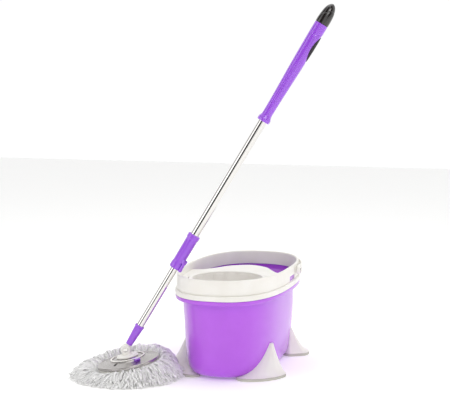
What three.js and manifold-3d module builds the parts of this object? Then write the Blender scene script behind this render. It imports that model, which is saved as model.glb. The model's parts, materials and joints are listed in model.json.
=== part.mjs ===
// Spin mop set: an oval wringing bucket on four legs with a spinning basket, and the mop that leans on
// its rim. Millimetres, +Z up. The bucket's long axis is Y, its basket end is -Y.

import * as THREE from 'three';
import { mergeVertices } from 'three/addons/utils/BufferGeometryUtils.js';
import Module from 'manifold-3d';

const wasm = await Module();
wasm.setup();

// ---------------------------------------------------------------- driving dimensions

const seatGap = 0.3;                // between pieces that rest on each other
const runningGap = 0.4;             // between pieces that move past each other

// oval bucket
const ovalPower = 2.57;             // superellipse exponent of the plan
const ovalStretch = 110;            // half-length minus half-width
const ovalSegments = 36;
const roundSegments = 20;           // of the tubes and turned pieces
const wideSegments = 30;            // of the plate, basket and pile
const collarHalfWidth = 140;        // outside of the collar's rim band
const bodyInset = 19;               // the shell just under its lip, in from the collar's band
const bodyHalfWidth = collarHalfWidth - bodyInset;
const bodyTaper = 0.04;             // how much narrower the shell is at the basket end
const shellWall = 3;
const shellFloor = 3;               // underside of the shell above the ground
const lipHeight = 203.6;            // top of the shell's lip
const lipInset = 0.6;
const lipWidth = collarHalfWidth - lipInset;
const lipDepth = 8;
const taperFade = 60;               // height over which the taper fades out under the lip
const upstandInset = 6.7;
const upstandHalfWidth = collarHalfWidth - upstandInset;
const upstandHeight = 29;           // upstand above the lip

// collar
const bandHeight = 13;
const collarRise = 51.8;            // rim above the shell's lip
const collarTop = lipHeight + collarRise;
const wallInset = 3.6;              // the collar's wall, in from its band
const collarWallHalfWidth = collarHalfWidth - wallInset;
const collarRimWidth = 6;
const deckDrop = 18.4;              // deck below the rim
const deckTop = collarTop - deckDrop;
const deckThickness = 3;

// basket
const basketInset = 143;            // basket's axis in from the collar's end
const basketCentre = basketInset - collarHalfWidth - ovalStretch;
const basketRimRadius = 96.5;
const basketHoleGap = 2.6;          // round the basket's rim, in the deck
const basketDepth = 126;
const basketWall = 2.2;
const basketTaper = 10;             // how much smaller the basket's foot is in radius
const basketSlots = 18;
const slotWidth = 8;
const slotLength = 66;
const basketRimStep = 6;            // rim's width outside the basket's wall
const basketHubFoot = 30;
const basketHubTop = 15;
const spindleRadius = 4;
const bushWall = 3.5;

// legs
const soleThickness = 7.5;
const legTop = 76;
const legApex = [                   // where a front leg meets the shell, on the right
  bodyHalfWidth - 8, 139 - bodyHalfWidth - ovalStretch,
];
const legGap = 0.8;                 // between a leg and the cut it stands in
const legFlare = 0.62;              // under 1 gives a leg that is hollow-curved towards its foot
const footFromApex = [              // a foot's corners, from its leg's apex
  [-69, -96], [-51, -111], [-21, -106], [7, -92], [31, -66], [45, -34], [41, -12], [-1, 12], [-23, -2],
  [-47, -50],
];
const footOutline = footFromApex.map(([x, y]) => [legApex[0] + x, legApex[1] + y]);

// carry handle
const handlePivotY = 54;
const handleDrop = 15.4;            // pivot below the rim
const handlePivotZ = collarTop - handleDrop;
const handleStandOff = 5;           // outside of the hoop, out from the collar's band
const handleHalfWidth = collarHalfWidth + handleStandOff;
const handleThickness = 4;
const handleHeight = 14;
const handlePinRadius = 4;
const handleBossReach = 5;
const handleBossGap = 2.8;          // between the collar's boss and the hoop, which curves in past it

// mop position
const mopHeading = 17.34;           // degrees the mop is turned about the vertical
const kneeFromSide = 79.5;          // knee out from the collar's side
const kneeFromEnd = 3.4;            // and in from its basket end
const kneeX = -collarHalfWidth - kneeFromSide;
const kneeY = kneeFromEnd - collarHalfWidth - ovalStretch;
const kneeHeight = 71.9;
const poleLean = 30.9;              // degrees from the vertical
const headTilt = 10.5;              // degrees the plate leans the other way
const kneeAbovePlate = 28.2;

// mop head
const plateRadius = 77.5;
const plateThickness = 2;
const plateSkirt = 6;               // how far the plate's edge turns down
const plateRise = 9;                // how far the plate domes up to its hub
const trimRadius = 41;
const hubRadius = 27;
const tabWidth = 14;
const tabSlotEnd = 54;              // outer end of the release tab's slot, from the plate's centre
const tabTravel = 2.5;
const tabAzimuth = -57;             // degrees round the plate
const hubBore = 13.5;
const kneePinRadius = 3;
const cheekSpacing = 8.8;           // middle of a fork cheek from the knee's middle
const cheekThickness = 4;
const cheekRadius = 12;
const knuckleRadius = 11;
const knuckleWidth = 12.4;
const knuckleStem = 6.6;
const strandRadius = 150;
const strandDepthScale = 0.94;
const strandOffset = 15;            // the pile's centre behind the knee
const strandEdge = 12;              // thickness of the pile at its edge
const strandGap = 2;                // between the pile and the foot that it lies over
const strandRingThickness = 6;

// pole, all along its axis from the knee
const lowerTubeRadius = 9;
const upperTubeRadius = 10.5;
const tubeWall = 0.7;
const socketStart = 14;
const socketEnd = 69.5;
const socketTopRadius = 12;
const socketFootRadius = 8;
const lowerTubeTop = 430;
const sleeveStart = 236.5;
const sleeveLength = 96.5;
const sleeveEnd = sleeveStart + sleeveLength;
const sleeveRadius = 15.2;
const gripStart = 656;
const gripLength = 272;
const gripEnd = gripStart + gripLength;
const gripRadius = 16.8;
const gripNeckRadius = 12.4;
const padLength = 68;                // of the thumb pad, along the pole
const padWidth = 20;
const padBelowCap = 62;             // from the grip's end down to the pad's middle
const padDepth = 2.6;
const padProud = 0.6;
const padCutterStart = 8;
const padCutterEnd = 30;
const capLength = 55;
const rodLead = 60;                 // one turn of the drive rod
const rodWidth = 6.4;
const rodThickness = 3;
const rodStart = 240;
const rodEnd = gripStart + 4;
const nutStart = lowerTubeTop + 7;
const nutLength = 11;
const tubeSeatStart = 41;           // foot of the lower tube, in the socket
const upperTubeStart = 28;          // foot of the upper tube, above the sleeve's foot
const latchPivotRise = 26;          // latch's pin above the sleeve's foot
const latchPivotReach = 3;          // and out from the sleeve
const latchPinRadius = 1.3;
const latchWidth = 7.2;
const leverAzimuth = -42;           // degrees round the pole, from the side it leans to

// ---------------------------------------------------------------- colours

const purple = new THREE.MeshStandardMaterial({ color: 0xb35cea, roughness: 0.32, metalness: 0 });
const white = new THREE.MeshStandardMaterial({ color: 0xf6f4ef, roughness: 0.4, metalness: 0 });
const greyRubber = new THREE.MeshStandardMaterial({ color: 0xb9b6ac, roughness: 0.7, metalness: 0 });
const darkPlastic = new THREE.MeshStandardMaterial({ color: 0x3a3433, roughness: 0.25, metalness: 0 });
const darkRubber = new THREE.MeshStandardMaterial({ color: 0x2c2730, roughness: 0.8, metalness: 0 });
const steel = new THREE.MeshStandardMaterial({ color: 0xc9c7c4, roughness: 0.18, metalness: 1 });
const silverPlate = new THREE.MeshStandardMaterial({ color: 0xb7b4b2, roughness: 0.35, metalness: 0.6 });
const nylon = new THREE.MeshStandardMaterial({ color: 0xe9e6dc, roughness: 0.5, metalness: 0 });
const yarn = new THREE.MeshStandardMaterial({ color: 0xfbfaf8, roughness: 1, metalness: 0 });

// ---------------------------------------------------------------- geometry helpers

// Shared vertices merged, collapsed triangles dropped and faces turned outwards.
function closed(geometry) {
  const bare = geometry.clone();
  bare.deleteAttribute('normal');
  bare.deleteAttribute('uv');
  const merged = mergeVertices(bare, 1e-3);
  const index = merged.index.array;
  const kept = [];
  for (let i = 0; i < index.length; i += 3) {
    const [a, b, c] = [index[i], index[i + 1], index[i + 2]];
    if (a !== b && b !== c && c !== a) kept.push(a, b, c);
  }
  merged.setIndex(signedVolume(merged, kept) < 0 ? kept.reverse() : kept);
  return merged;
}

function signedVolume(geometry, index) {
  const at = geometry.getAttribute('position');
  const corners = [new THREE.Vector3(), new THREE.Vector3(), new THREE.Vector3()];
  let volume = 0;
  for (let i = 0; i < index.length; i += 3) {
    corners.forEach((corner, k) => corner.fromBufferAttribute(at, index[i + k]));
    volume += corners[0].dot(corners[1].clone().cross(corners[2])) / 6;
  }
  return volume;
}

function toSolid(geometry) {
  const shape = closed(geometry);
  const vertProperties = Float32Array.from(shape.getAttribute('position').array);
  const triVerts = Uint32Array.from(shape.index.array);
  return new wasm.Manifold(new wasm.Mesh({ numProp: 3, vertProperties, triVerts }));
}

function fromSolid(solid) {
  const mesh = solid.getMesh();
  const geometry = new THREE.BufferGeometry();
  geometry.setAttribute('position', new THREE.BufferAttribute(mesh.vertProperties, mesh.numProp));
  geometry.setIndex(Array.from(mesh.triVerts));
  return geometry;
}

function largest(solid) {
  return solid.decompose().sort((a, b) => b.volume() - a.volume())[0];
}

function join(...geometries) {
  return fromSolid(geometries.map(toSolid).reduce((sum, next) => sum.add(next)));
}

function cut(geometry, ...cutters) {
  return fromSolid(cutters.map(toSolid).reduce((rest, next) => rest.subtract(next), toSolid(geometry)));
}

function overlapOf(first, second) {
  return fromSolid(toSolid(first).intersect(toSolid(second)));
}

// A profile of [radius, height] points turned about Z.
function turned(profile, segments = roundSegments) {
  const points = profile.map(([radius, height]) => new THREE.Vector2(radius, height));
  return closed(new THREE.LatheGeometry(points, segments).rotateX(Math.PI / 2));
}

// A ring or tube: outer and inner radius between two heights.
function tube(outer, inner, low, high, segments = roundSegments) {
  return turned([[inner, low], [outer, low], [outer, high], [inner, high], [inner, low]], segments);
}

function rod(radius, low, high, segments = roundSegments) {
  return turned([[0, low], [radius, low], [radius, high], [0, high]], segments);
}

function block(width, depth, height, x = 0, y = 0, z = 0) {
  return new THREE.BoxGeometry(width, depth, height).translate(x, y, z);
}

// A flat outline of [x, y] points raised from one height to another.
function slab(outline, low, high) {
  const shape = new THREE.Shape(outline.map(([x, y]) => new THREE.Vector2(x, y)));
  const options = { depth: high - low, bevelEnabled: false };
  return closed(new THREE.ExtrudeGeometry(shape, options).translate(0, 0, low));
}

// A rod lying along X or Y, centred on a point.
function crossRod(radius, length, axis, x, y, z, segments = roundSegments) {
  const geometry = rod(radius, -length / 2, length / 2, segments);
  if (axis === 'x') geometry.rotateY(Math.PI / 2);
  if (axis === 'y') geometry.rotateX(Math.PI / 2);
  return geometry.translate(x, y, z);
}

// Horizontal loops of equal count, joined in order from the lowest to the highest.
function loft(loops) {
  const count = loops[0].length;
  const positions = loops.flat().flat();
  const index = [];
  for (let level = 0; level < loops.length - 1; level += 1) {
    for (let i = 0; i < count; i += 1) {
      const a = level * count + i;
      const b = level * count + ((i + 1) % count);
      index.push(a, b, b + count, a, b + count, a + count);
    }
  }
  const flat = (loop) => loop.map(([x, y]) => new THREE.Vector2(x, y));
  const last = (loops.length - 1) * count;
  THREE.ShapeUtils.triangulateShape(flat(loops[0]), []).forEach(([a, b, c]) => index.push(c, b, a));
  THREE.ShapeUtils.triangulateShape(flat(loops.at(-1)), []).forEach(([a, b, c]) => {
    index.push(last + a, last + b, last + c);
  });
  const geometry = new THREE.BufferGeometry();
  geometry.setAttribute('position', new THREE.Float32BufferAttribute(positions, 3));
  geometry.setIndex(index);
  return closed(geometry);
}

// An outline moved outwards by a distance, for an outline that runs anticlockwise.
function grown(outline, distance) {
  return outline.map(([x, y], i) => {
    const [px, py] = outline.at(i - 1);
    const [nx, ny] = outline[(i + 1) % outline.length];
    const length = Math.hypot(nx - px, ny - py);
    return [x + (distance * (ny - py)) / length, y - (distance * (nx - px)) / length];
  });
}

function degrees(angle) {
  return THREE.MathUtils.degToRad(angle);
}

// ---------------------------------------------------------------- the oval plan

// A point of the oval at an angle, for a half-width; the half-length is longer by the stretch.
function ovalPoint(halfWidth, angle) {
  const bend = (value) => Math.sign(value) * Math.abs(value) ** (2 / ovalPower);
  const halfLength = halfWidth + ovalStretch * Math.min(1, halfWidth / ovalStretch);
  return [halfWidth * bend(Math.cos(angle)), halfLength * bend(Math.sin(angle))];
}

// A turned profile whose circles become ovals, narrower towards the basket end by a taper. The taper
// fades out below the lip, so that the lip and what sits on it keep the plain oval.
function ovalTurned(profile, taper = 0) {
  const geometry = turned(profile, ovalSegments);
  const at = geometry.getAttribute('position');
  for (let i = 0; i < at.count; i += 1) {
    const radius = Math.hypot(at.getX(i), at.getY(i));
    const [x, y] = ovalPoint(radius, Math.atan2(at.getY(i), at.getX(i)));
    const along = y / (collarHalfWidth + ovalStretch);
    const below = Math.min(1, Math.max(0, (lipHeight - lipDepth - at.getZ(i)) / taperFade));
    at.setXYZ(i, x * (1 + taper * along * below), y, at.getZ(i));
  }
  return geometry;
}

// ---------------------------------------------------------------- bucket

// The shell's outside below its lip, as insets from its half-width at heights.
const shellSide = [
  [30, 0], [19.5, 4.5], [12.5, 16], [7.5, 42], [3, 96], [0, 186],
];

function shellOutside() {
  const side = shellSide.map(([inset, rise]) => [bodyHalfWidth - inset, shellFloor + rise]);
  const lipFoot = lipHeight - lipDepth;
  return [
    [0, shellFloor], ...side, [lipWidth, lipFoot], [lipWidth, lipHeight],
    [upstandHalfWidth, lipHeight], [upstandHalfWidth, lipHeight + upstandHeight],
    [0, lipHeight + upstandHeight],
  ];
}

function shellInside() {
  const insideWidth = bodyHalfWidth - shellWall;
  const insideFloor = shellFloor + shellWall;
  const side = shellSide.map(([inset, rise]) => [insideWidth - inset, insideFloor + rise]);
  const mouth = upstandHalfWidth - shellWall;
  return [
    [0, insideFloor], ...side, [mouth, lipHeight], [mouth, lipHeight + upstandHeight + shellWall],
    [0, lipHeight + upstandHeight + shellWall],
  ];
}

// One leg's outline, drawn in from the foot towards the apex by a share of its height.
function legOutline(step, distance) {
  const drawn = 0.92 * step ** legFlare;
  const outline = footOutline.map(([x, y]) => [
    x + (legApex[0] - x) * drawn,
    y + (legApex[1] - y) * drawn,
  ]);
  return grown(outline, distance);
}

// A leg, or with a distance the space that it needs, which also runs into the ground and past its top.
function leg(distance) {
  const steps = [0, 0.1, 0.3, 0.6, 1];
  const at = (step, height) => legOutline(step, distance).map(([x, y]) => [x, y, height]);
  const loops = steps.map((step) => at(step, soleThickness + (legTop - soleThickness) * step));
  if (distance > 0) {
    loops.unshift(at(0, -distance));
    loops.push(at(1, legTop + distance));
  }
  return loft(loops);
}

// Every leg and sole is a mirror image of the front right one.
function mirrored(geometry, sideX, sideY) {
  return closed(geometry.clone().scale(sideX, sideY, 1));
}

const corners = [
  ['front_right', 1, 1], ['front_left', -1, 1], ['back_right', 1, -1], ['back_left', -1, -1],
];

// The shell is cut away round each leg and keeps its full wall behind the cut.
function bucketShell() {
  let outside = toSolid(ovalTurned(shellOutside(), bodyTaper));
  let inside = toSolid(ovalTurned(shellInside(), bodyTaper));
  corners.forEach(([, sideX, sideY]) => {
    outside = outside.subtract(toSolid(mirrored(leg(legGap), sideX, sideY)));
    inside = inside.subtract(toSolid(mirrored(leg(legGap + shellWall), sideX, sideY)));
  });
  return fromSolid(outside.subtract(inside));
}

function sole() {
  return slab(footOutline, 0, soleThickness - seatGap);
}

// ---------------------------------------------------------------- collar

// The deck's edge towards the water end: a tongue that bulges back past the middle.
function waterOpening() {
  const tongue = new THREE.SplineCurve([
    new THREE.Vector2(-126, -2), new THREE.Vector2(-98, 12), new THREE.Vector2(-74, 46),
    new THREE.Vector2(-48, 86), new THREE.Vector2(0, 110), new THREE.Vector2(48, 86),
    new THREE.Vector2(74, 46), new THREE.Vector2(98, 12), new THREE.Vector2(126, -2),
  ]);
  const front = tongue.getPoints(24).map(({ x, y }) => [x, y]);
  const ledge = collarTop - deckTop;
  const halfWidth = collarWallHalfWidth - collarRimWidth - 4;
  const back = [];
  for (let angle = 4; angle <= 176; angle += 6) {
    back.push(ovalPoint(halfWidth, degrees(angle)));
  }
  return slab([...front, ...back], deckTop - deckThickness - ledge, collarTop);
}

function splashCollar() {
  const rimInside = collarWallHalfWidth - collarRimWidth;
  const bandLow = lipHeight + runningGap;
  const bandTop = bandLow + bandHeight;
  const inner = upstandHalfWidth + runningGap;
  const profile = [
    [0, deckTop - deckThickness], [inner, deckTop - deckThickness], [inner, bandLow],
    [collarHalfWidth, bandLow], [collarHalfWidth, bandTop - 1], [collarHalfWidth - 1, bandTop],
    [collarWallHalfWidth - 1.2, bandTop], [collarWallHalfWidth - 1.2, bandTop + 1.6],
    [collarWallHalfWidth, bandTop + 1.6], [collarWallHalfWidth, collarTop - 2],
    [collarWallHalfWidth - 2, collarTop], [rimInside + 1.5, collarTop], [rimInside, collarTop - 1.5],
    [rimInside, deckTop], [0, deckTop],
  ];
  const hole = rod(basketRimRadius + basketHoleGap, deckTop - 20, collarTop, wideSegments);
  hole.translate(0, basketCentre, 0);
  const reach = handleHalfWidth - handleThickness - handleBossGap - inner;
  const pieces = [ovalTurned(profile)];
  const cutters = [hole, waterOpening()];
  [-1, 1].forEach((side) => {
    const middle = side * (inner + reach / 2);
    pieces.push(crossRod(9.5, reach, 'x', middle, handlePivotY, handlePivotZ));
    cutters.push(crossRod(handlePinRadius + seatGap, 30, 'x', middle, handlePivotY, handlePivotZ));
    cutters.push(block(20, 38, 8.5, side * collarHalfWidth, handlePivotY - 22, bandTop + 5));
  });
  return cut(join(...pieces), ...cutters);
}

// ---------------------------------------------------------------- carry handle

// A half oval that lies round the back of the rim, with an eye at each end.
function carryHandle() {
  const inner = handleHalfWidth - handleThickness;
  const low = handlePivotZ - handleHeight / 2;
  const high = low + handleHeight;
  const hoop = ovalTurned([
    [inner, low], [handleHalfWidth, low], [handleHalfWidth, high], [inner, high], [inner, low],
  ]);
  const front = block(4 * collarHalfWidth, 4 * collarHalfWidth, 4 * handleHeight,
    0, handlePivotY - 2 * collarHalfWidth, handlePivotZ);
  const eyes = [];
  const bores = [];
  [-1, 1].forEach((side) => {
    const length = handleThickness + handleBossReach;
    const middle = side * (inner + length / 2);
    eyes.push(crossRod(handleHeight / 2 + 4, length, 'x', middle, handlePivotY, handlePivotZ));
    bores.push(crossRod(handlePinRadius + seatGap, 40, 'x', middle, handlePivotY, handlePivotZ));
  });
  return cut(join(cut(hoop, front), ...eyes), ...bores);
}

function handlePin(side) {
  const start = upstandHalfWidth + 1.5;
  const end = handleHalfWidth + handleBossReach + runningGap;
  const shank = crossRod(handlePinRadius, end - start + 1, 'x', (start + end) / 2 + 0.5, 0, 0);
  const head = crossRod(7.5, 2, 'x', end + 1, 0, 0);
  const pin = join(shank, head).translate(0, handlePivotY, handlePivotZ);
  return side > 0 ? pin : mirrored(pin, -1, 1);
}

// ---------------------------------------------------------------- spinning basket

const basketTop = deckTop + 3;
const basketFoot = basketTop - basketDepth;
const basketBodyRadius = basketRimRadius - basketRimStep;
const hubHeight = 38;

function spinBasket() {
  const foot = basketBodyRadius - basketTaper;
  const [hubFoot, hubTop] = [basketHubFoot, basketHubTop];
  const core = spindleRadius + bushWall + seatGap;
  const profile = [
    [core, basketFoot + hubHeight - basketWall], [hubTop - basketWall, basketFoot + hubHeight - basketWall],
    [hubFoot - basketWall, basketFoot], [foot, basketFoot], [basketBodyRadius, basketTop - 10],
    [basketBodyRadius + 1, basketTop - 2.4], [basketRimRadius, basketTop - 2.4], [basketRimRadius, basketTop],
    [basketBodyRadius - basketWall, basketTop], [foot - basketWall, basketFoot + basketWall],
    [hubFoot, basketFoot + basketWall], [hubTop, basketFoot + hubHeight], [core, basketFoot + hubHeight],
    [core, basketFoot + hubHeight - basketWall],
  ];
  const body = turned(profile, wideSegments);
  const slots = [];
  for (let i = 0; i < basketSlots; i += 1) {
    const angle = (2 * Math.PI * i) / basketSlots;
    const reach = basketBodyRadius - basketTaper / 2;
    const height = basketFoot + basketDepth / 2 - 4;
    slots.push(block(24, slotWidth, slotLength, reach, 0, height).rotateZ(angle));
  }
  return cut(body, ...slots);
}

function basketCap() {
  const low = basketFoot + hubHeight + seatGap;
  return turned([
    [0, low], [basketHubTop, low], [basketHubTop, low + 2], [11, low + 6], [5, low + 8], [0, low + 8.5],
  ]);
}

function spindleBush() {
  const radius = spindleRadius + bushWall;
  const low = basketFoot + 4;
  return tube(radius, spindleRadius + runningGap, low, basketFoot + hubHeight - basketWall - 1);
}

// A hollow-footed cone on the shell's floor that carries the basket's spindle.
function basketPedestal() {
  const low = shellFloor + shellWall + seatGap;
  const high = basketFoot - 3;
  const bore = spindleRadius + seatGap;
  return turned([
    [0, low], [44, low], [44, low + 4], [24, low + 20], [13, high - 12], [13, high], [bore, high],
    [bore, high - 24], [0, high - 24],
  ]);
}

function spindlePin() {
  return rod(spindleRadius, basketFoot - 26.5, basketFoot + hubHeight - basketWall - 0.6);
}

// ---------------------------------------------------------------- mop head, about the plate's centre

function mopPlate() {
  const inner = hubBore + runningGap;
  const profile = [
    [inner, plateRise - plateThickness], [30, plateRise - plateThickness], [trimRadius - 3, plateRise - 4.2],
    [trimRadius + 3, plateRise - 6.6], [plateRadius - 8, -plateThickness], [plateRadius - 2, -plateThickness],
    [plateRadius - 2, -plateSkirt], [plateRadius, -plateSkirt], [plateRadius, -1], [plateRadius - 1.5, 0.4],
    [plateRadius - 5, 0.8], [plateRadius - 8, 0], [trimRadius + 6, plateRise - 4.6],
    [trimRadius + 3, plateRise - 2.2], [trimRadius - 3, plateRise - 2.2], [30, plateRise],
    [inner, plateRise], [inner, plateRise - plateThickness],
  ];
  const window = block(13, 7, 20, 36, 0, 0).rotateZ(degrees(-112));
  return cut(turned(profile, wideSegments), tabSlot(), window);
}

function plateTrimRing() {
  const low = plateRise - 2.2 + seatGap;
  const ring = tube(trimRadius + 2, trimRadius - 2, low, low + 2.2, wideSegments);
  return cut(ring, tabSlot());
}

// The radial slot that the release tab slides in.
function tabSlot() {
  const start = hubRadius - 4;
  const length = tabSlotEnd - start;
  return block(length, tabWidth + 2 * runningGap, 12, start + length / 2, 0, plateRise - 4)
    .rotateZ(degrees(tabAzimuth));
}

// The tab that frees the strand ring, lying in its slot and pressed towards the hub.
function releaseTab() {
  const start = hubRadius + 2 * runningGap + tabTravel;
  const length = tabSlotEnd - runningGap - start;
  const middle = start + length / 2;
  const tongue = block(length, tabWidth, 6.6, middle, 0, plateRise - 2.7);
  const lip = block(4, tabWidth, 2.4, start + length - 2, 0, plateRise + 1.2);
  return join(tongue, lip).rotateZ(degrees(tabAzimuth));
}

function cheek(y) {
  const eye = crossRod(cheekRadius, cheekThickness, 'y', 0, y, kneeAbovePlate);
  const web = block(16, cheekThickness, 10, 0, y, kneeAbovePlate - 8);
  return join(eye, web);
}

// The white swivel that turns in the plate and carries the fork.
function hubSwivel() {
  const flange = turned([
    [0, -4], [hubBore, -4], [hubBore, plateRise + runningGap], [hubRadius, plateRise + runningGap],
    [hubRadius, plateRise + 3], [hubRadius - 3, plateRise + 5], [17, plateRise + 7], [0, plateRise + 7],
  ]);
  const bore = crossRod(kneePinRadius + seatGap, 60, 'y', 0, 0, kneeAbovePlate);
  const hollow = crossRod(13, 13.4, 'y', 0, 0, kneeAbovePlate);
  return cut(join(flange, cheek(-cheekSpacing), cheek(cheekSpacing)), bore, hollow);
}

function hubClip() {
  return tube(hubBore + 5, hubBore - 6, -6.6, -4.3);
}

function kneePin() {
  const shank = crossRod(kneePinRadius, 24, 'y', 0, 0, 0, 16);
  const head = crossRod(5, 1.6, 'y', 0, -12.1, 0, 16);
  return join(shank, head);
}

// ---------------------------------------------------------------- strands

function strandRing() {
  const top = -plateSkirt - seatGap;
  const profile = [
    [46, top - strandRingThickness], [plateRadius - 3, top - strandRingThickness], [plateRadius - 3, top],
    [46, top], [46, top - strandRingThickness],
  ];
  return turned(profile, wideSegments);
}

// The pile of yarn, plain: it lies on the ground, its top follows the tilted head and thins to its edge.
function strandPile(footSolids) {
  const crownRadius = plateRadius + 22;
  const pile = turned([
    [0, 0], [strandRadius - 6, 0], [strandRadius, 4], [strandRadius, strandEdge - 3],
    [strandRadius - 5, strandEdge], [strandRadius - 22, strandEdge], [strandRadius - 38, strandEdge],
    [crownRadius, strandEdge], [crownRadius / 2, strandEdge], [0, strandEdge],
  ], wideSegments);
  const at = pile.getAttribute('position');
  for (let i = 0; i < at.count; i += 1) {
    const [x, y, z] = [at.getX(i), at.getY(i), at.getZ(i)];
    const inward = (strandRadius - Math.hypot(x, y)) / (strandRadius - crownRadius);
    const share = z < strandEdge - 1 ? 0 : Math.min(1, inward);
    at.setXYZ(i, x, y * strandDepthScale + strandOffset, z + share * (underHead(x) - z));
  }
  const place = new THREE.Matrix4().makeTranslation(kneeX, kneeY, 0)
    .multiply(new THREE.Matrix4().makeRotationZ(degrees(mopHeading)));
  let solid = toSolid(pile.applyMatrix4(place));
  footSolids.forEach((foot) => {
    solid = solid.subtract(toSolid(foot));
  });
  return fromSolid(largest(solid));
}

// Height of the plane under the tilted strand ring, at a distance along the lean from the knee.
function underHead(x) {
  const tilt = degrees(headTilt);
  const depth = kneeAbovePlate + plateSkirt + strandRingThickness + 2 * seatGap;
  return kneeHeight - depth / Math.cos(tilt) + x * Math.tan(tilt);
}

// ---------------------------------------------------------------- pole, along Z from the knee

function poleKnuckle() {
  const eye = crossRod(knuckleRadius, knuckleWidth, 'y', 0, 0, 0);
  const stem = rod(knuckleStem, 6, 40);
  return cut(join(eye, stem), crossRod(kneePinRadius + seatGap, 30, 'y', 0, 0, 0, 16));
}

function poleSocket() {
  const tubeSeat = lowerTubeRadius + seatGap;
  const knuckleBore = knuckleStem + seatGap;
  return turned([
    [knuckleBore, socketStart], [socketFootRadius, socketStart], [socketFootRadius + 0.4, socketStart + 4],
    [socketTopRadius - 1.4, socketEnd - 20], [socketTopRadius - 0.8, socketEnd - 5],
    [socketTopRadius, socketEnd - 4], [socketTopRadius, socketEnd], [tubeSeat, socketEnd],
    [tubeSeat, tubeSeatStart], [knuckleBore, tubeSeatStart], [knuckleBore, socketStart],
  ]);
}

function lowerTube() {
  return tube(lowerTubeRadius, lowerTubeRadius - tubeWall, tubeSeatStart + seatGap, lowerTubeTop);
}

// The nylon housing on top of the lower tube, which guides the upper tube and holds the drive nut.
function clutchHousing() {
  const outer = upperTubeRadius - tubeWall - seatGap;
  const low = lowerTubeTop + seatGap;
  const nutRoom = nutStart - 0.6;
  return turned([
    [4.6, low], [outer, low], [outer, low + 26], [4.6, low + 26], [4.6, nutStart + nutLength + 0.6],
    [7.2, nutStart + nutLength + 0.6], [7.2, nutRoom], [4.6, nutRoom], [4.6, low],
  ]);
}

function driveNut() {
  return tube(6.6, 4.3, nutStart, nutStart + nutLength);
}

// A flat bar twisted along its length.
function driveRod() {
  const steps = Math.ceil(((rodEnd - rodStart) / rodLead) * 10);
  const loops = [];
  for (let step = 0; step <= steps; step += 1) {
    const height = rodStart + ((rodEnd - rodStart) * step) / steps;
    const turn = (2 * Math.PI * (height - rodStart)) / rodLead;
    const corner = (x, y) => [
      x * Math.cos(turn) - y * Math.sin(turn), x * Math.sin(turn) + y * Math.cos(turn), height,
    ];
    const [w, t] = [rodWidth / 2, rodThickness / 2];
    loops.push([corner(w, -t), corner(w, t), corner(-w, t), corner(-w, -t)]);
  }
  return loft(loops);
}

function rodAnchor() {
  return rod(upperTubeRadius - tubeWall - seatGap, rodEnd + seatGap, rodEnd + 22);
}

function upperTube() {
  return tube(upperTubeRadius, upperTubeRadius - tubeWall, sleeveStart + upperTubeStart,
    gripEnd - 8);
}

function lockSleeve() {
  const guide = lowerTubeRadius + runningGap;
  const seat = upperTubeRadius + seatGap;
  const step = sleeveStart + upperTubeStart - 1;
  const body = turned([
    [guide, sleeveStart], [sleeveRadius - 1, sleeveStart], [sleeveRadius, sleeveStart + 2],
    [sleeveRadius, sleeveStart + 14], [sleeveRadius - 1, sleeveStart + 17],
    [sleeveRadius - 0.6, sleeveEnd - 12], [sleeveRadius - 0.6, sleeveEnd - 9],
    [sleeveRadius + 0.6, sleeveEnd - 8], [sleeveRadius + 0.6, sleeveEnd - 2], [sleeveRadius - 0.6, sleeveEnd],
    [seat, sleeveEnd], [seat, step], [guide, step], [guide, sleeveStart],
  ]);
  const ears = [-1, 1].map((side) => block(9, 2.4, 10, sleeveRadius + 1, side * 5.1,
    sleeveStart + latchPivotRise));
  ears.forEach((ear) => ear.rotateZ(degrees(leverAzimuth)));
  const around = rod(seat, sleeveStart + 15, sleeveStart + 40);
  return cut(join(body, ...ears.map((ear) => cut(ear, around))), leverBore());
}

// A round bar along the latch's axis.
function latchBar(radius, length) {
  const bar = crossRod(radius, length, 'y', sleeveRadius + latchPivotReach, 0, sleeveStart + latchPivotRise, 16);
  return bar.rotateZ(degrees(leverAzimuth));
}

function leverBore() {
  return latchBar(latchPinRadius + seatGap, 20);
}

function leverPin() {
  return latchBar(latchPinRadius, 12.2);
}

// The latch that locks the press stroke: an arm with a hooked toe.
function lockLever() {
  const reach = sleeveRadius + latchPivotReach;
  const eye = crossRod(2.4, latchWidth, 'y', reach, 0, sleeveStart + latchPivotRise, 16);
  const arm = block(3.2, latchWidth, 24, reach + 0.4, 0, sleeveStart + 14);
  const toe = crossRod(3, latchWidth, 'y', reach + 1, 0, sleeveStart + 2, 16);
  return cut(join(eye, arm, toe).rotateZ(degrees(leverAzimuth)), leverBore());
}

// The grip's outside as a radius at heights from its foot.
const gripSide = [
  [15.6, 0], [16.2, 2], [16.2, 10], [13.4, 14], [12.4, 20], [12.6, 50], [13.6, 90], [15.2, 140], [16.2, 190],
  [16.8, 235], [16.8, 272],
];

function gripBody(extra) {
  const scale = gripRadius / gripSide.at(-1)[0];
  const length = (gripEnd - gripStart) / gripSide.at(-1)[1];
  const side = gripSide.map(([radius, rise]) => [radius * scale + extra, gripStart + rise * length]);
  return turned([[0, gripStart], ...side, [0, gripEnd]]);
}

// An oval bar that crosses the grip's underside, lengthwise along the pole.
function padCutter(margin) {
  return rod(1, padCutterStart, padCutterEnd, wideSegments)
    .scale(padLength / 2 + margin, padWidth / 2 + margin, 1)
    .rotateY(Math.PI / 2).translate(0, 0, gripEnd - padBelowCap);
}

function grip() {
  const bore = rod(upperTubeRadius + seatGap, gripStart - 1, gripEnd - 7);
  const recess = cut(padCutter(seatGap), rod(gripRadius - padDepth, gripStart, gripEnd));
  return cut(gripBody(0), bore, recess);
}

function thumbPad() {
  const floor = rod(gripRadius - padDepth + seatGap, gripStart, gripEnd);
  return cut(overlapOf(gripBody(padProud), padCutter(0)), floor);
}

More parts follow.
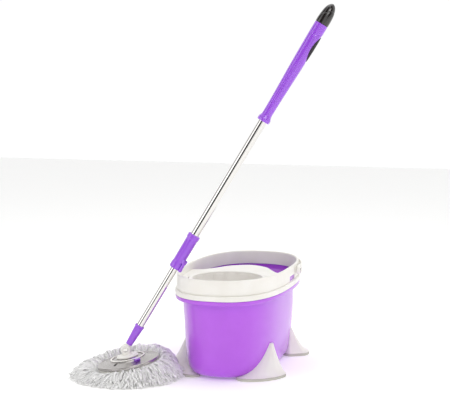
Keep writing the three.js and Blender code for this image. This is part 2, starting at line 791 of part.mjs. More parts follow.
function endCap() {
  const low = gripEnd + seatGap;
  const side = [[17, 0], [17, 12], [16.4, 24], [14.6, 36], [11.6, 45], [7.2, 51.6], [3, 54.4]];
  const outside = side.map(([radius, rise]) => [radius, low + rise]);
  return turned([[0, low], ...outside, [0, gripEnd + capLength]]);
}

// ---------------------------------------------------------------- assembly

function part(name, geometry, material) {
  const mesh = new THREE.Mesh(closed(geometry), material);
  mesh.name = name;
  return mesh;
}

function bucketGroup() {
  const group = new THREE.Group();
  group.add(part('bucket_shell', bucketShell(), purple));
  corners.forEach(([corner, sideX, sideY]) => {
    group.add(part(`leg_${corner}`, mirrored(leg(0), sideX, sideY), white));
    group.add(part(`sole_${corner}`, mirrored(sole(), sideX, sideY), greyRubber));
  });
  group.add(part('splash_collar', splashCollar(), white));
  group.add(part('carry_handle', carryHandle(), white));
  group.add(part('handle_pin_right', handlePin(1), steel));
  group.add(part('handle_pin_left', handlePin(-1), steel));
  return group;
}

function basketGroup() {
  const group = new THREE.Group();
  group.position.y = basketCentre;
  group.add(part('spin_basket', spinBasket(), white));
  group.add(part('basket_cap', basketCap(), white));
  group.add(part('spindle_bush', spindleBush(), nylon));
  group.add(part('basket_pedestal', basketPedestal(), white));
  group.add(part('spindle_pin', spindlePin(), steel));
  return group;
}

function headGroup() {
  const group = new THREE.Group();
  group.rotation.y = -degrees(headTilt);
  group.position.set(kneeAbovePlate * Math.sin(degrees(headTilt)), 0,
    kneeHeight - kneeAbovePlate * Math.cos(degrees(headTilt)));
  group.add(part('mop_plate', mopPlate(), silverPlate));
  group.add(part('plate_trim_ring', plateTrimRing(), white));
  group.add(part('release_tab', releaseTab(), purple));
  group.add(part('hub_swivel', hubSwivel(), white));
  group.add(part('hub_clip', hubClip(), steel));
  group.add(part('strand_ring', strandRing(), white));
  return group;
}

function poleGroup() {
  const group = new THREE.Group();
  group.rotation.y = degrees(poleLean);
  group.position.z = kneeHeight;
  group.add(part('knee_pin', kneePin(), steel));
  group.add(part('pole_knuckle', poleKnuckle(), white));
  group.add(part('pole_socket', poleSocket(), purple));
  group.add(part('lower_tube', lowerTube(), steel));
  group.add(part('clutch_housing', clutchHousing(), nylon));
  group.add(part('drive_nut', driveNut(), nylon));
  group.add(part('drive_rod', driveRod(), steel));
  group.add(part('rod_anchor', rodAnchor(), nylon));
  group.add(part('upper_tube', upperTube(), steel));
  group.add(part('lock_sleeve', lockSleeve(), purple));
  group.add(part('lock_lever', lockLever(), white));
  group.add(part('lever_pin', leverPin(), steel));
  group.add(part('grip', grip(), purple));
  group.add(part('thumb_pad', thumbPad(), darkRubber));
  group.add(part('end_cap', endCap(), darkPlastic));
  return group;
}

function mopGroup() {
  const group = new THREE.Group();
  group.position.set(kneeX, kneeY, 0);
  group.rotation.z = degrees(mopHeading);
  group.add(headGroup(), poleGroup());
  return group;
}

function spinMop() {
  const set = new THREE.Group();
  const mop = mopGroup();
  set.add(bucketGroup(), basketGroup(), mop);
  set.updateMatrixWorld(true);
  const clearOf = mirrored(leg(strandGap), -1, 1);
  set.add(part('strand_pile', strandPile([clearOf]), yarn));
  const box = new THREE.Box3().setFromObject(set, true);
  set.position.set(-(box.min.x + box.max.x) / 2, -(box.min.y + box.max.y) / 2, -box.min.z);
  set.updateMatrixWorld(true);
  return set;
}

export default spinMop();
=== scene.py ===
# Spin mop set: oval wringing bucket with its spinning basket, and the mop standing beside it.
# Lengths in the dictionaries are in millimetres; meshes are in metres.

import bpy
import bmesh
import json
import math
import numpy as np
from mathutils import Matrix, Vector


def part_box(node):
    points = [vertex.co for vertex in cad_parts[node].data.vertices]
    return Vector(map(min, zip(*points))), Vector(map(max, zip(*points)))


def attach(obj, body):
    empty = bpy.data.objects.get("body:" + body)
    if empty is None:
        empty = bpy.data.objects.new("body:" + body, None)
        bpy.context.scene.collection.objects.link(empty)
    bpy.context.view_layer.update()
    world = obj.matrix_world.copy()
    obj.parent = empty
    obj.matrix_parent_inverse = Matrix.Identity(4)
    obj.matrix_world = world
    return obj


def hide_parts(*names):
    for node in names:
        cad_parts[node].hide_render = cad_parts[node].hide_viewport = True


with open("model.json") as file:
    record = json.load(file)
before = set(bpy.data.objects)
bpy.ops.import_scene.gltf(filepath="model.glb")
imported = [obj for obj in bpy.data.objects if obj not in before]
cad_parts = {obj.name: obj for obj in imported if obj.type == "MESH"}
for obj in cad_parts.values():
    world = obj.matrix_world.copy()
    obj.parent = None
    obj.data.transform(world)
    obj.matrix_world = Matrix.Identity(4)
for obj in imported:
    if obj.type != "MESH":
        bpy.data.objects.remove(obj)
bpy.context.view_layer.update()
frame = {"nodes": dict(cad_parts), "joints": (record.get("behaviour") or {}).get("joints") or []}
mm = 0.001
mergeDistance = 2e-6    # metres; points closer than this become one
crispAbove = 38         # degrees; an edge sharper than this stays crisp
joints = {joint["name"]: joint for joint in frame["joints"]}


# One sRGB hex colour as linear red, green, blue and alpha.
def toLinear(hexColour):
    channels = [int(hexColour[i:i + 2], 16) / 255 for i in (1, 3, 5)]
    return [c / 12.92 if c <= 0.04045 else ((c + 0.055) / 1.055) ** 2.4 for c in channels] + [1.0]


# Adds a node, sets its properties and input values, and links the inputs that are given as sockets.
def addNode(tree, kind, settings=None, inputs=None):
    node = tree.nodes.new(kind)
    for key, value in (settings or {}).items():
        setattr(node, key, value)
    for key, value in (inputs or {}).items():
        if isinstance(value, bpy.types.NodeSocket):
            tree.links.new(value, node.inputs[key])
        else:
            node.inputs[key].default_value = value
    return node


# Sets the stops of a colour ramp from a list of (position, colour).
def setRamp(node, stops):
    ramp = node.color_ramp
    while len(ramp.elements) > 1:
        ramp.elements.remove(ramp.elements[-1])
    ramp.elements[0].position, ramp.elements[0].color = stops[0]
    for position, colour in stops[1:]:
        ramp.elements.new(position).color = colour


# Row and column numbers of a grid turned into quads, each way open or closed on itself.
def gridFaces(rows, columns, closeRows=False, closeColumns=False, start=0):
    i, j = np.meshgrid(np.arange(rows if closeRows else rows - 1),
                       np.arange(columns if closeColumns else columns - 1), indexing="ij")
    nextRow, nextColumn = (i + 1) % rows, (j + 1) % columns
    quads = np.stack([i * columns + j, i * columns + nextColumn,
                      nextRow * columns + nextColumn, nextRow * columns + j], -1)
    return quads.reshape(-1, 4) + start


# Each corner of a profile is replaced by a quadratic curve that starts and ends a radius away from it.
def softened(profile, radius, closed=False, steps=5):
    p = np.array(profile, float)
    before, after = np.roll(p, 1, 0) - p, np.roll(p, -1, 0) - p
    lengthBefore = np.linalg.norm(before, axis=1, keepdims=True)
    lengthAfter = np.linalg.norm(after, axis=1, keepdims=True)
    r = np.broadcast_to(np.asarray(radius, float), (len(p),))[:, None]
    start = p + before / lengthBefore * np.minimum(r, lengthBefore * 0.45)
    end = p + after / lengthAfter * np.minimum(r, lengthAfter * 0.45)
    t = np.linspace(0, 1, steps)[None, :, None]
    curve = (1 - t) ** 2 * start[:, None] + 2 * t * (1 - t) * p[:, None] + t ** 2 * end[:, None]
    if not closed:
        curve[0], curve[-1] = p[0], p[-1]
    return curve.reshape(-1, 2)


# A smooth line through points: Catmull-Rom cubics between each pair, closed on itself or open.
def throughPoints(points, steps, closed=False):
    p = np.array(points, float)
    if closed:
        a, b, c, d = np.roll(p, 1, 0), p, np.roll(p, -1, 0), np.roll(p, -2, 0)
    else:
        padded = np.vstack([2 * p[0] - p[1], p, 2 * p[-1] - p[-2]])
        a, b, c, d = padded[:-3], padded[1:-2], padded[2:-1], padded[3:]
    t = np.linspace(0, 1, steps, endpoint=False)[None, :, None]
    a, b, c, d = a[:, None], b[:, None], c[:, None], d[:, None]
    curve = 0.5 * (2 * b + (c - a) * t + (2 * a - 5 * b + 4 * c - d) * t ** 2
                   + (3 * b - a - 3 * c + d) * t ** 3)
    curve = curve.reshape(-1, p.shape[1])
    return curve if closed else np.vstack([curve, p[-1:]])


# A radius and height profile turned about Z: x = r cos a, y = r sin a.
def turned(profile, segments=96):
    profile = np.asarray(profile, float)
    angle = np.linspace(0, 2 * math.pi, segments, endpoint=False)[:, None]
    r, z = profile[None, :, 0], profile[None, :, 1]
    return np.stack([r * np.cos(angle), r * np.sin(angle), z + 0 * angle], -1)


# A smooth step from 0 to 1 between two values.
def fade(low, high, value):
    t = np.clip((value - low) / (high - low), 0, 1)
    return t * t * (3 - 2 * t)


# Points given in a tool's own axes put where those axes stand in the row frame, in metres.
def placed(points, place):
    origin, x, y, z = place
    p = np.asarray(points, float)
    return origin + mm * (p[..., 0:1] * x + p[..., 1:2] * y + p[..., 2:3] * z)


# Several grids as one list of points, each grid's quads counted on from the grids before it.
def joined(parts):
    points, faces, count = [], [], 0
    for grid, quads in parts:
        flat = np.asarray(grid, float).reshape(-1, 3)
        points.append(flat)
        faces.append(quads + count)
        count += len(flat)
    return np.vstack(points), np.vstack(faces).astype(np.int32)


# Builds one object from grids of points and their quads, merges its poles and turns its faces outwards.
def makePiece(name, parts, material, body, standsFor=(), sharpAngle=crispAbove, uv=None):
    points, faces = joined(parts)
    mesh = bpy.data.meshes.new(name)
    mesh.vertices.add(len(points))
    mesh.vertices.foreach_set("co", points.astype(np.float32).ravel())
    mesh.loops.add(faces.size)
    mesh.loops.foreach_set("vertex_index", faces.ravel())
    mesh.polygons.add(len(faces))
    mesh.polygons.foreach_set("loop_start", np.arange(0, faces.size, 4, dtype=np.int32))
    if uv is not None:
        layer = mesh.uv_layers.new(name="pieceMap")
        layer.data.foreach_set("uv", np.asarray(uv, np.float32)[faces.ravel()].ravel())
    mesh.update(calc_edges=True)
    work = bmesh.new()
    work.from_mesh(mesh)
    bmesh.ops.remove_doubles(work, verts=work.verts, dist=mergeDistance)
    bmesh.ops.dissolve_degenerate(work, dist=1e-7, edges=work.edges)
    bmesh.ops.recalc_face_normals(work, faces=work.faces)
    work.to_mesh(mesh)
    work.free()
    mesh.polygons.foreach_set("use_smooth", np.ones(len(mesh.polygons), bool))
    mesh.set_sharp_from_angle(angle=math.radians(sharpAngle))
    mesh.materials.append(material)
    piece = bpy.data.objects.new(name, mesh)
    bpy.context.scene.collection.objects.link(piece)
    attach(piece, body)
    if standsFor:
        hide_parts(*standsFor)
    return piece


# A closed grid of a turned or swept solid: profile columns open at the axis, or closed on themselves.
def solidPart(grid, place=None, closeColumns=False):
    points = placed(grid, place) if place is not None else grid
    rows, columns = grid.shape[:2]
    return points, gridFaces(rows, columns, closeRows=True, closeColumns=closeColumns)


# Cuts closed shapes out of a piece and keeps the result as its mesh.
def cutAway(piece, cutterParts):
    points, faces = joined(cutterParts)
    mesh = bpy.data.meshes.new("cutter")
    mesh.from_pydata(points.tolist(), [], faces.tolist())
    work = bmesh.new()
    work.from_mesh(mesh)
    bmesh.ops.remove_doubles(work, verts=work.verts, dist=mergeDistance)
    bmesh.ops.recalc_face_normals(work, faces=work.faces)
    work.to_mesh(mesh)
    work.free()
    cutter = bpy.data.objects.new("cutter", mesh)
    bpy.context.scene.collection.objects.link(cutter)
    modifier = piece.modifiers.new("cut", "BOOLEAN")
    modifier.object = cutter
    modifier.operation = "DIFFERENCE"
    modifier.solver = "EXACT"
    depsgraph = bpy.context.evaluated_depsgraph_get()
    result = bpy.data.meshes.new_from_object(piece.evaluated_get(depsgraph))
    piece.modifiers.clear()
    piece.data = result
    result.set_sharp_from_angle(angle=math.radians(crispAbove))
    bpy.data.objects.remove(cutter)


# A grid turned about Z by a bearing in degrees: x' = x cos b - y sin b, y' = x sin b + y cos b.
def atBearing(grid, bearing):
    c, s = math.cos(math.radians(bearing)), math.sin(math.radians(bearing))
    return np.stack([grid[..., 0] * c - grid[..., 1] * s, grid[..., 0] * s + grid[..., 1] * c,
                     grid[..., 2]], -1)


# A grid with x and y multiplied by a share at each point and its height kept.
def widened(grid, share):
    return grid * np.stack([share, share, np.ones_like(share)], -1)


# A box with rounded upright edges, as stacked loops that close to a point below and above.
def roundedBox(width, depth, low, high, corner, centre=(0, 0), steps=6):
    w, d = width / 2, depth / 2
    outline = softened([(-w, -d), (w, -d), (w, d), (-w, d)], corner, closed=True, steps=steps)
    levels = [(0, low), (1, low), (1, high), (0, high)]
    loops = [np.column_stack([outline * scale + np.array(centre), np.full(len(outline), z)])
             for scale, z in levels]
    return np.stack(loops, 1)


collarLow, collarHigh = (np.array(corner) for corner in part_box("splash_collar"))
bucketPlace = (np.array([(collarLow[0] + collarHigh[0]) / 2, (collarLow[1] + collarHigh[1]) / 2, 0.0]),
               np.array([1.0, 0, 0]), np.array([0, 1.0, 0]), np.array([0, 0, 1.0]))
basketPlace = (np.array([*joints["basket_spin"]["pos_m"][:2], 0.0]), *bucketPlace[1:])


# A tool's axes from the point of a joint, its own Z and the line across the mop's knee.
def jointPlace(name, upright):
    z = np.array(upright, float) / np.linalg.norm(upright)
    y = -np.array(joints["pole_tilt"]["axis"], float)
    return np.array(joints[name]["pos_m"], float), np.cross(y, z), y, z


polePlace = jointPlace("pole_tilt", joints["pole_press"]["axis"])
platePlace = jointPlace("head_swivel", joints["head_swivel"]["axis"])
kneeSpot = polePlace[0]
pilePlace = (np.array([kneeSpot[0], kneeSpot[1], 0.0]), *jointPlace("pole_tilt", (0, 0, 1))[1:])
print("frame read")


# A new material with its node tree and its surface shader.
def newMaterial(name):
    material = bpy.data.materials.new(name)
    material.use_nodes = True
    return material, material.node_tree, material.node_tree.nodes["Principled BSDF"]


plasticLook = {"bumpHeight": 0.02, "grainSize": 0.9, "cloudSize": 60}


# Injection-moulded plastic: even colour with slow clouds, a fine grain that softens the gloss.
def mouldedPlastic(name, colour, deeper, roughness, grainStrength=0.06, coat=0.0, sheen=0.0):
    material, tree, shader = newMaterial(name)
    where = addNode(tree, "ShaderNodeTexCoord")
    clouds = addNode(tree, "ShaderNodeTexNoise", {}, {
        "Vector": where.outputs["Object"], "Scale": 1 / (plasticLook["cloudSize"] * mm), "Detail": 3.0})
    tint = addNode(tree, "ShaderNodeValToRGB", {}, {"Fac": clouds.outputs["Fac"]})
    setRamp(tint, [(0.3, toLinear(deeper)), (0.7, toLinear(colour))])
    grain = addNode(tree, "ShaderNodeTexNoise", {}, {
        "Vector": where.outputs["Object"], "Scale": 1 / (plasticLook["grainSize"] * mm), "Detail": 2.0})
    gloss = addNode(tree, "ShaderNodeMapRange", {}, {
        "Value": clouds.outputs["Fac"], "To Min": roughness * 0.85, "To Max": roughness * 1.2})
    bump = addNode(tree, "ShaderNodeBump", {}, {
        "Height": grain.outputs["Fac"], "Strength": grainStrength,
        "Distance": plasticLook["bumpHeight"] * mm})
    tree.links.new(tint.outputs["Color"], shader.inputs["Base Color"])
    tree.links.new(gloss.outputs["Result"], shader.inputs["Roughness"])
    tree.links.new(bump.outputs["Normal"], shader.inputs["Normal"])
    shader.inputs["IOR"].default_value = 1.49
    shader.inputs["Coat Weight"].default_value = coat
    shader.inputs["Coat Roughness"].default_value = 0.12
    shader.inputs["Sheen Weight"].default_value = sheen
    shader.inputs["Sheen Roughness"].default_value = 0.35
    return material


# Polypropylene, moulded glossy: saturated violet that pales where it turns from the light.
purplePolypropylene = mouldedPlastic("purplePolypropylene", "#BA5CE8", "#B557E3", 0.22, 0.03, 0.3, 0.25)
# The same plastic for the mop's fittings, a little deeper in thick walls.
purpleFittings = mouldedPlastic("purpleFittings", "#A156E4", "#9A4EDF", 0.18, 0.01, 0.7, 0.45)
# Polypropylene filled white: soft gloss, slightly warm.
whitePolypropylene = mouldedPlastic("whitePolypropylene", "#F6F4EF", "#F0EDE6", 0.34)
# Nylon, natural: waxy off-white bearing parts.
naturalNylon = mouldedPlastic("naturalNylon", "#E9E4D6", "#DDD7C8", 0.45)
# Thermoplastic rubber, moulded: grey, dull, slightly rough underfoot.
greyRubber = mouldedPlastic("greyRubber", "#C9C7BD", "#BDBBB1", 0.62, 0.3)
# ABS, polished: near black with a clear gloss.
polishedAbs = mouldedPlastic("polishedAbs", "#241F1E", "#1D1918", 0.12, 0.02, 0.8)
# Soft elastomer: dark, matt, moulded over the grip.
darkElastomer = mouldedPlastic("darkElastomer", "#2E2832", "#231E27", 0.7, 0.4)

# Marks once round a piece, then marks in each mapLength along it; their height is in millimetres.
steelLook = {"mapLength": 100, "tubeMarks": (70.0, 4.0, 1.0), "discMarks": (9.0, 160.0, 1.0), "markHeight": 0.02}


# Bright metal with fine marks: drawn tube marks run along a piece, spun marks run round it.
def brightMetal(name, colour, roughness, stretch, markStrength):
    material, tree, shader = newMaterial(name)
    where = addNode(tree, "ShaderNodeTexCoord")
    scaled = addNode(tree, "ShaderNodeMapping", {}, {
        "Vector": where.outputs["UV"], "Scale": stretch})
    marks = addNode(tree, "ShaderNodeTexNoise", {}, {
        "Vector": scaled.outputs["Vector"], "Scale": 1.0, "Detail": 3.0, "Roughness": 0.6})
    gloss = addNode(tree, "ShaderNodeMapRange", {}, {
        "Value": marks.outputs["Fac"], "From Min": 0.3, "From Max": 0.7,
        "To Min": roughness * 0.7, "To Max": roughness * 1.5})
    bump = addNode(tree, "ShaderNodeBump", {}, {
        "Height": marks.outputs["Fac"], "Strength": markStrength,
        "Distance": steelLook["markHeight"] * mm})
    tree.links.new(gloss.outputs["Result"], shader.inputs["Roughness"])
    tree.links.new(bump.outputs["Normal"], shader.inputs["Normal"])
    shader.inputs["Base Color"].default_value = toLinear(colour)
    shader.inputs["Metallic"].default_value = 1.0
    return material


# Stainless steel tube, polished along its length: mirror-like, with faint drawn lines.
polishedSteel = brightMetal("polishedSteel", "#E3E1DE", 0.1, steelLook["tubeMarks"], 0.08)
# Stainless steel disc, brushed in circles: grey with streaks that fan out from the middle.
brushedDisc = brightMetal("brushedDisc", "#B2AEAC", 0.24, steelLook["discMarks"], 0.4)

yarnLook = {"strandLength": 130, "twistPitch": 5.0, "fibreSize": 0.5}


# Microfibre yarn, tufted: white, matt, lit softly through its fibres, with painted shade that greys it slightly in
# the hollows of its twist.
def yarnMaterial():
    material, tree, shader = newMaterial("microfibreYarn")
    where = addNode(tree, "ShaderNodeTexCoord")
    turns = yarnLook["strandLength"] / yarnLook["twistPitch"]
    scaled = addNode(tree, "ShaderNodeMapping", {}, {"Vector": where.outputs["UV"], "Scale": (1.0, turns, 1.0)})
    twist = addNode(tree, "ShaderNodeTexWave", {"bands_direction": "DIAGONAL"}, {
        "Vector": scaled.outputs["Vector"], "Scale": 0.6, "Distortion": 2.2, "Detail": 2.0})
    fibres = addNode(tree, "ShaderNodeTexNoise", {}, {
        "Vector": where.outputs["Object"], "Scale": 1 / (yarnLook["fibreSize"] * mm), "Detail": 4.0})
    height = addNode(tree, "ShaderNodeMath", {"operation": "ADD"}, {
        0: twist.outputs["Fac"], 1: fibres.outputs["Fac"]})
    bump = addNode(tree, "ShaderNodeBump", {}, {
        "Height": height.outputs["Value"], "Strength": 0.7, "Distance": 0.8 * mm})
    # Painted shade: the colour turns slightly grey where the twist sinks, in its hollows, and white on its crests.
    tint = addNode(tree, "ShaderNodeValToRGB", {}, {"Fac": twist.outputs["Fac"]})
    setRamp(tint, [(0.0, toLinear("#F8F7F6")), (0.6, toLinear("#FFFFFE"))])
    tree.links.new(tint.outputs["Color"], shader.inputs["Base Color"])
    tree.links.new(bump.outputs["Normal"], shader.inputs["Normal"])
    shader.inputs["Roughness"].default_value = 0.95
    shader.inputs["Sheen Weight"].default_value = 0.35
    shader.inputs["Sheen Roughness"].default_value = 0.5
    shader.inputs["Subsurface Weight"].default_value = 0.5
    shader.inputs["Subsurface Scale"].default_value = 9 * mm
    shader.inputs["Subsurface Radius"].default_value = (1.0, 1.0, 1.0)
    return material


microfibreYarn = yarnMaterial()
print("materials made")


oval = {"power": 2.57, "stretch": 110, "segments": 256, "taper": 0.04, "taperFrom": 195.6, "taperFade": 60,
        "rimHalfLength": 250}


# A point of the oval: x = w sign(c)|c|^(2/n), y = (w + stretch) sign(s)|s|^(2/n).
def ovalPoints(halfWidth, angle):
    bend = lambda value: np.sign(value) * np.abs(value) ** (2 / oval["power"])
    halfLength = halfWidth + oval["stretch"] * np.minimum(1, halfWidth / oval["stretch"])
    return halfWidth * bend(np.cos(angle)), halfLength * bend(np.sin(angle))


# A width and height profile carried round the oval, narrower towards the basket end below the lip.
def ovalTurned(profile, taper=0.0):
    profile = np.asarray(profile, float)
    angle = np.linspace(0, 2 * math.pi, oval["segments"], endpoint=False)[:, None]
    x, y = ovalPoints(profile[None, :, 0], angle)
    z = profile[None, :, 1] + 0 * angle
    below = np.clip((oval["taperFrom"] - z) / oval["taperFade"], 0, 1)
    return np.stack([x * (1 + taper * y / oval["rimHalfLength"] * below), y, z], -1)


shell = {"halfWidth": 121, "wall": 3, "floor": 3, "lipWidth": 139.4, "lipTop": 203.6, "lipFoot": 194.2,
         "upstandWidth": 133.3, "upstandTop": 232.6,
         "side": [(30, 0), (19.5, 4.5), (12.5, 16), (7.5, 42), (3, 96), (0.6, 150), (0, 184)]}


# The tub: a smooth side curve, a lip and an upstand, then the same side one wall further in, carried round
# the oval as one closed skin.
def makeShell():
    side = throughPoints([(shell["halfWidth"] - inset, shell["floor"] + rise)
                          for inset, rise in shell["side"]], 5)
    inner = throughPoints([(shell["halfWidth"] - shell["wall"] - inset,
                            shell["floor"] + shell["wall"] + rise) for inset, rise in shell["side"]], 5)
    lip = softened([side[-1], (shell["halfWidth"] + 1.0, 191.5), (shell["lipWidth"], shell["lipFoot"]),
                    (shell["lipWidth"], shell["lipTop"]), (shell["upstandWidth"], shell["lipTop"]),
                    (shell["upstandWidth"], shell["upstandTop"]),
                    (shell["upstandWidth"] - shell["wall"], shell["upstandTop"]),
                    (shell["upstandWidth"] - shell["wall"], shell["lipTop"]), inner[-1]],
                   [0, 2.5, 2.2, 1.2, 1, 1, 1, 6, 0])
    profile = np.vstack([[0, shell["floor"]], side, lip[1:-1], inner[::-1],
                         [0, shell["floor"] + shell["wall"]]])
    grid = ovalTurned(profile, oval["taper"])
    return makePiece("bucketShellFine", [solidPart(grid, bucketPlace)], purplePolypropylene, "bucket",
                     ["bucket_shell"])


foot = {"soleTop": 7.5, "legTop": 76, "apex": (113, -92), "drawn": 0.92, "flare": 0.62,
        "outline": [(44, -188), (62, -203), (92, -198), (120, -184), (144, -158), (158, -126),
                    (154, -104), (112, -80), (90, -94), (66, -142)]}


# A foot's outline with its corners softened.
def footOutline():
    return softened(foot["outline"], 9, closed=True, steps=8)


# Loops drawn in towards the apex by drawn * step^flare, ending in a soft tip.
def legGrid():
    outline, apex = footOutline(), np.array(foot["apex"], float)
    steps = np.concatenate([np.linspace(0, 0.2, 10), np.linspace(0.23, 1, 26)])
    inward = np.concatenate([foot["drawn"] * steps ** foot["flare"], [0.965, 0.99, 1.0]])
    rise = np.concatenate([steps, [1.012, 1.02, 1.022]])
    height = foot["soleTop"] + (foot["legTop"] - foot["soleTop"]) * rise
    inward = np.concatenate([[1.0], inward])
    height = np.concatenate([[foot["soleTop"]], height])
    height = np.minimum(height, foot["legTop"] + 1)
    loops = outline[:, None] + (apex - outline[:, None]) * inward[None, :, None]
    return np.concatenate([loops, np.broadcast_to(height[None, :, None], (*loops.shape[:2], 1))], -1)


# The sole: the foot's outline as a strip with rounded edges, closed below and above.
def soleGrid():
    outline, apex = footOutline(), np.array(foot["apex"], float)
    top = foot["soleTop"] - 0.3
    section = [(1, 0), (0.03, 0), (0.008, 0.5), (0.0, 1.6), (0.0, top - 1.4), (0.008, top - 0.3),
               (0.03, top), (1, top)]
    inward, height = np.array(section, float).T
    loops = outline[:, None] + (apex - outline[:, None]) * inward[None, :, None]
    return np.concatenate([loops, np.broadcast_to(height[None, :, None], (*loops.shape[:2], 1))], -1)


# The four feet and their soles: one corner's grids, mirrored by the signs of its side.
def makeFeet():
    for corner, sideX, sideY in [("front_right", 1, 1), ("front_left", -1, 1),
                                 ("back_right", 1, -1), ("back_left", -1, -1)]:
        flip = np.array([sideX, sideY, 1.0])
        makePiece(f"legFine_{corner}", [solidPart(legGrid() * flip, bucketPlace)], whitePolypropylene,
                  "bucket", [f"leg_{corner}"])
        makePiece(f"soleFine_{corner}", [solidPart(soleGrid() * flip, bucketPlace)], greyRubber,
                  "bucket", [f"sole_{corner}"])


collar = {"bandWidth": 140, "bandLow": 204, "bandTop": 217, "wallWidth": 136.4, "grooveWidth": 135.0,
          "grooveTop": 218.9, "top": 255.4, "rimWidth": 6, "deckTop": 237, "deckThickness": 3,
          "innerWidth": 133.7, "basketY": -107, "holeRadius": 99.1, "holeSkirt": 9,
          "tongue": [(-126, -2), (-98, 12), (-74, 46), (-48, 86), (0, 110), (48, 86), (74, 46), (98, 12),
                     (126, -2)],
          "tongueSkirt": 12, "skirtWidth": 127.4, "skirtLow": 219.5, "skirtThickness": 2.2,
          "bossRadius": 9.5, "bossEnd": 138.2, "window": (54, 13), "windowY": 20,
          "windowCutter": {"depth": 24, "corner": 3, "side": 144, "aboveBand": 1}}


# The ring: one closed section with its band, groove, wall, rolled rim and ledge, carried round the oval.
def collarRing():
    rimInside = collar["wallWidth"] - collar["rimWidth"]
    deckLow = collar["deckTop"] - collar["deckThickness"]
    skirtBack = collar["skirtWidth"] + collar["skirtThickness"]
    corners = [((collar["innerWidth"], collar["bandLow"]), 0.6), ((collar["bandWidth"], collar["bandLow"]), 1.5),
               ((collar["bandWidth"], collar["bandTop"]), 2.4), ((collar["grooveWidth"], collar["bandTop"]), 0.4),
               ((collar["grooveWidth"], collar["grooveTop"]), 0.4),
               ((collar["wallWidth"], collar["grooveTop"]), 0.8), ((collar["wallWidth"], collar["top"]), 4),
               ((rimInside, collar["top"]), 4), ((collar["skirtWidth"], collar["skirtLow"]), 1),
               ((skirtBack, collar["skirtLow"]), 0.8),
               ((skirtBack, deckLow - 0.4), 0.5), ((collar["innerWidth"], deckLow - 0.4), 1)]
    section = softened([c for c, _ in corners], [r for _, r in corners], closed=True, steps=6)
    return solidPart(ovalTurned(section), bucketPlace, closeColumns=True)


# Distance from the basket's axis to the oval or to the tongue's edge, along each direction.
def deckReach(angle):
    rim = np.stack(ovalPoints(np.full(2000, collar["skirtWidth"] + 1.6),
                              np.linspace(0, 2 * math.pi, 2000, endpoint=False)), -1)
    tongue = throughPoints(collar["tongue"], 40)
    reaches = []
    for line in (rim, tongue):
        offset = line - np.array([0, collar["basketY"]])
        bearing = np.arctan2(offset[:, 1], offset[:, 0])
        order = np.argsort(bearing)
        distance = np.hypot(offset[:, 0], offset[:, 1])
        if line is rim:
            reaches.append(np.interp(angle, bearing[order], distance[order], period=2 * math.pi))
        else:
            inside = (angle > bearing.min()) & (angle < bearing.max())
            along = np.interp(angle, bearing[order], distance[order])
            reaches.append(np.where(inside, along, 1e6))
    return np.minimum(*reaches)


# The deck: a section from the basket hole's skirt over its rolled lip and out to the edge, turned about
# the basket's axis with a reach that changes with the direction, and back along its underside.
def collarDeck():
    angle = np.linspace(-math.pi, math.pi, 360, endpoint=False)
    reach = deckReach(angle)[:, None]
    hole, top, low = collar["holeRadius"], collar["deckTop"], collar["deckTop"] - collar["deckThickness"]
    nearHole = softened([(hole + 2, top - collar["holeSkirt"]), (hole, top - collar["holeSkirt"]),
                         (hole, top + 1.2), (hole + 4.5, top + 1.2), (hole + 8, top)], [0, 0.8, 1.6, 2, 0])
    nearEdge = softened([(-6, top), (0, top), (0, top - collar["tongueSkirt"]),
                         (-2.4, top - collar["tongueSkirt"]), (-2.4, low - 1), (-8, low)],
                        [0, 4, 0.8, 0.8, 3, 0])
    underHole = np.array([(hole + 6, low), (hole + 2.4, low), (hole + 2, top - collar["holeSkirt"])])
    between = np.linspace(0, 1, 6)[1:-1]
    outward = (hole + 8) + (reach - 6 - hole - 8) * between[None, :]
    back = (reach - 8) + (hole + 6 - reach + 8) * between[None, :]
    radius = np.hstack([np.broadcast_to(nearHole[:, 0], (360, len(nearHole))), outward,
                        reach + nearEdge[:, 0], back, np.broadcast_to(underHole[:, 0], (360, 3))])
    height = np.concatenate([nearHole[:, 1], np.full(4, top), nearEdge[:, 1], np.full(4, low),
                             underHole[:, 1]])
    grid = np.stack([radius * np.cos(angle)[:, None], radius * np.sin(angle)[:, None] + collar["basketY"],
                     np.broadcast_to(height, radius.shape)], -1)
    return solidPart(grid, bucketPlace, closeColumns=True)


# A short bar of a round section lying across the bucket at the handle's pivot.
def crossBar(profile, side, pivotY, pivotZ, segments=48):
    grid = turned(profile, segments)
    return np.stack([side * grid[..., 2], pivotY + grid[..., 0], pivotZ + grid[..., 1]], -1)


handle = {"halfWidth": 145, "thickness": 4, "height": 14, "pivotY": 54, "pivotZ": 240, "eyeRadius": 11,
          "bossReach": 5, "pinRadius": 4, "headRadius": 7.5, "pinStart": 134.8, "boreRadius": 4.4}


# The splash collar: its ring with a long window cut through each side, its deck, and a round boss behind
# each of the handle's pivots.
def makeCollar():
    ring = makePiece("collarRing", [collarRing()], whitePolypropylene, "bucket",
                     ["splash_collar"])
    cutters, cutter = [], collar["windowCutter"]
    length, height = collar["window"]
    sill = collar["bandTop"] + cutter["aboveBand"]
    for side in (-1, 1):
        box = roundedBox(cutter["depth"], length, sill, sill + height, cutter["corner"],
                         (side * cutter["side"], collar["windowY"]))
        cutters.append(solidPart(box, bucketPlace))
    cutAway(ring, cutters)
    makePiece("collarDeck", [collarDeck()], whitePolypropylene, "bucket")
    bosses = []
    for side in (-1, 1):
        r, start, end = collar["bossRadius"], collar["innerWidth"] + 1, collar["bossEnd"]
        profile = softened([(0, start), (r, start), (r, end), (0, end)], [0, 0.4, 1.0, 0])
        bosses.append(solidPart(crossBar(profile, side, handle["pivotY"], handle["pivotZ"]), bucketPlace))
    makePiece("handleBosses", bosses, whitePolypropylene, "bucket")


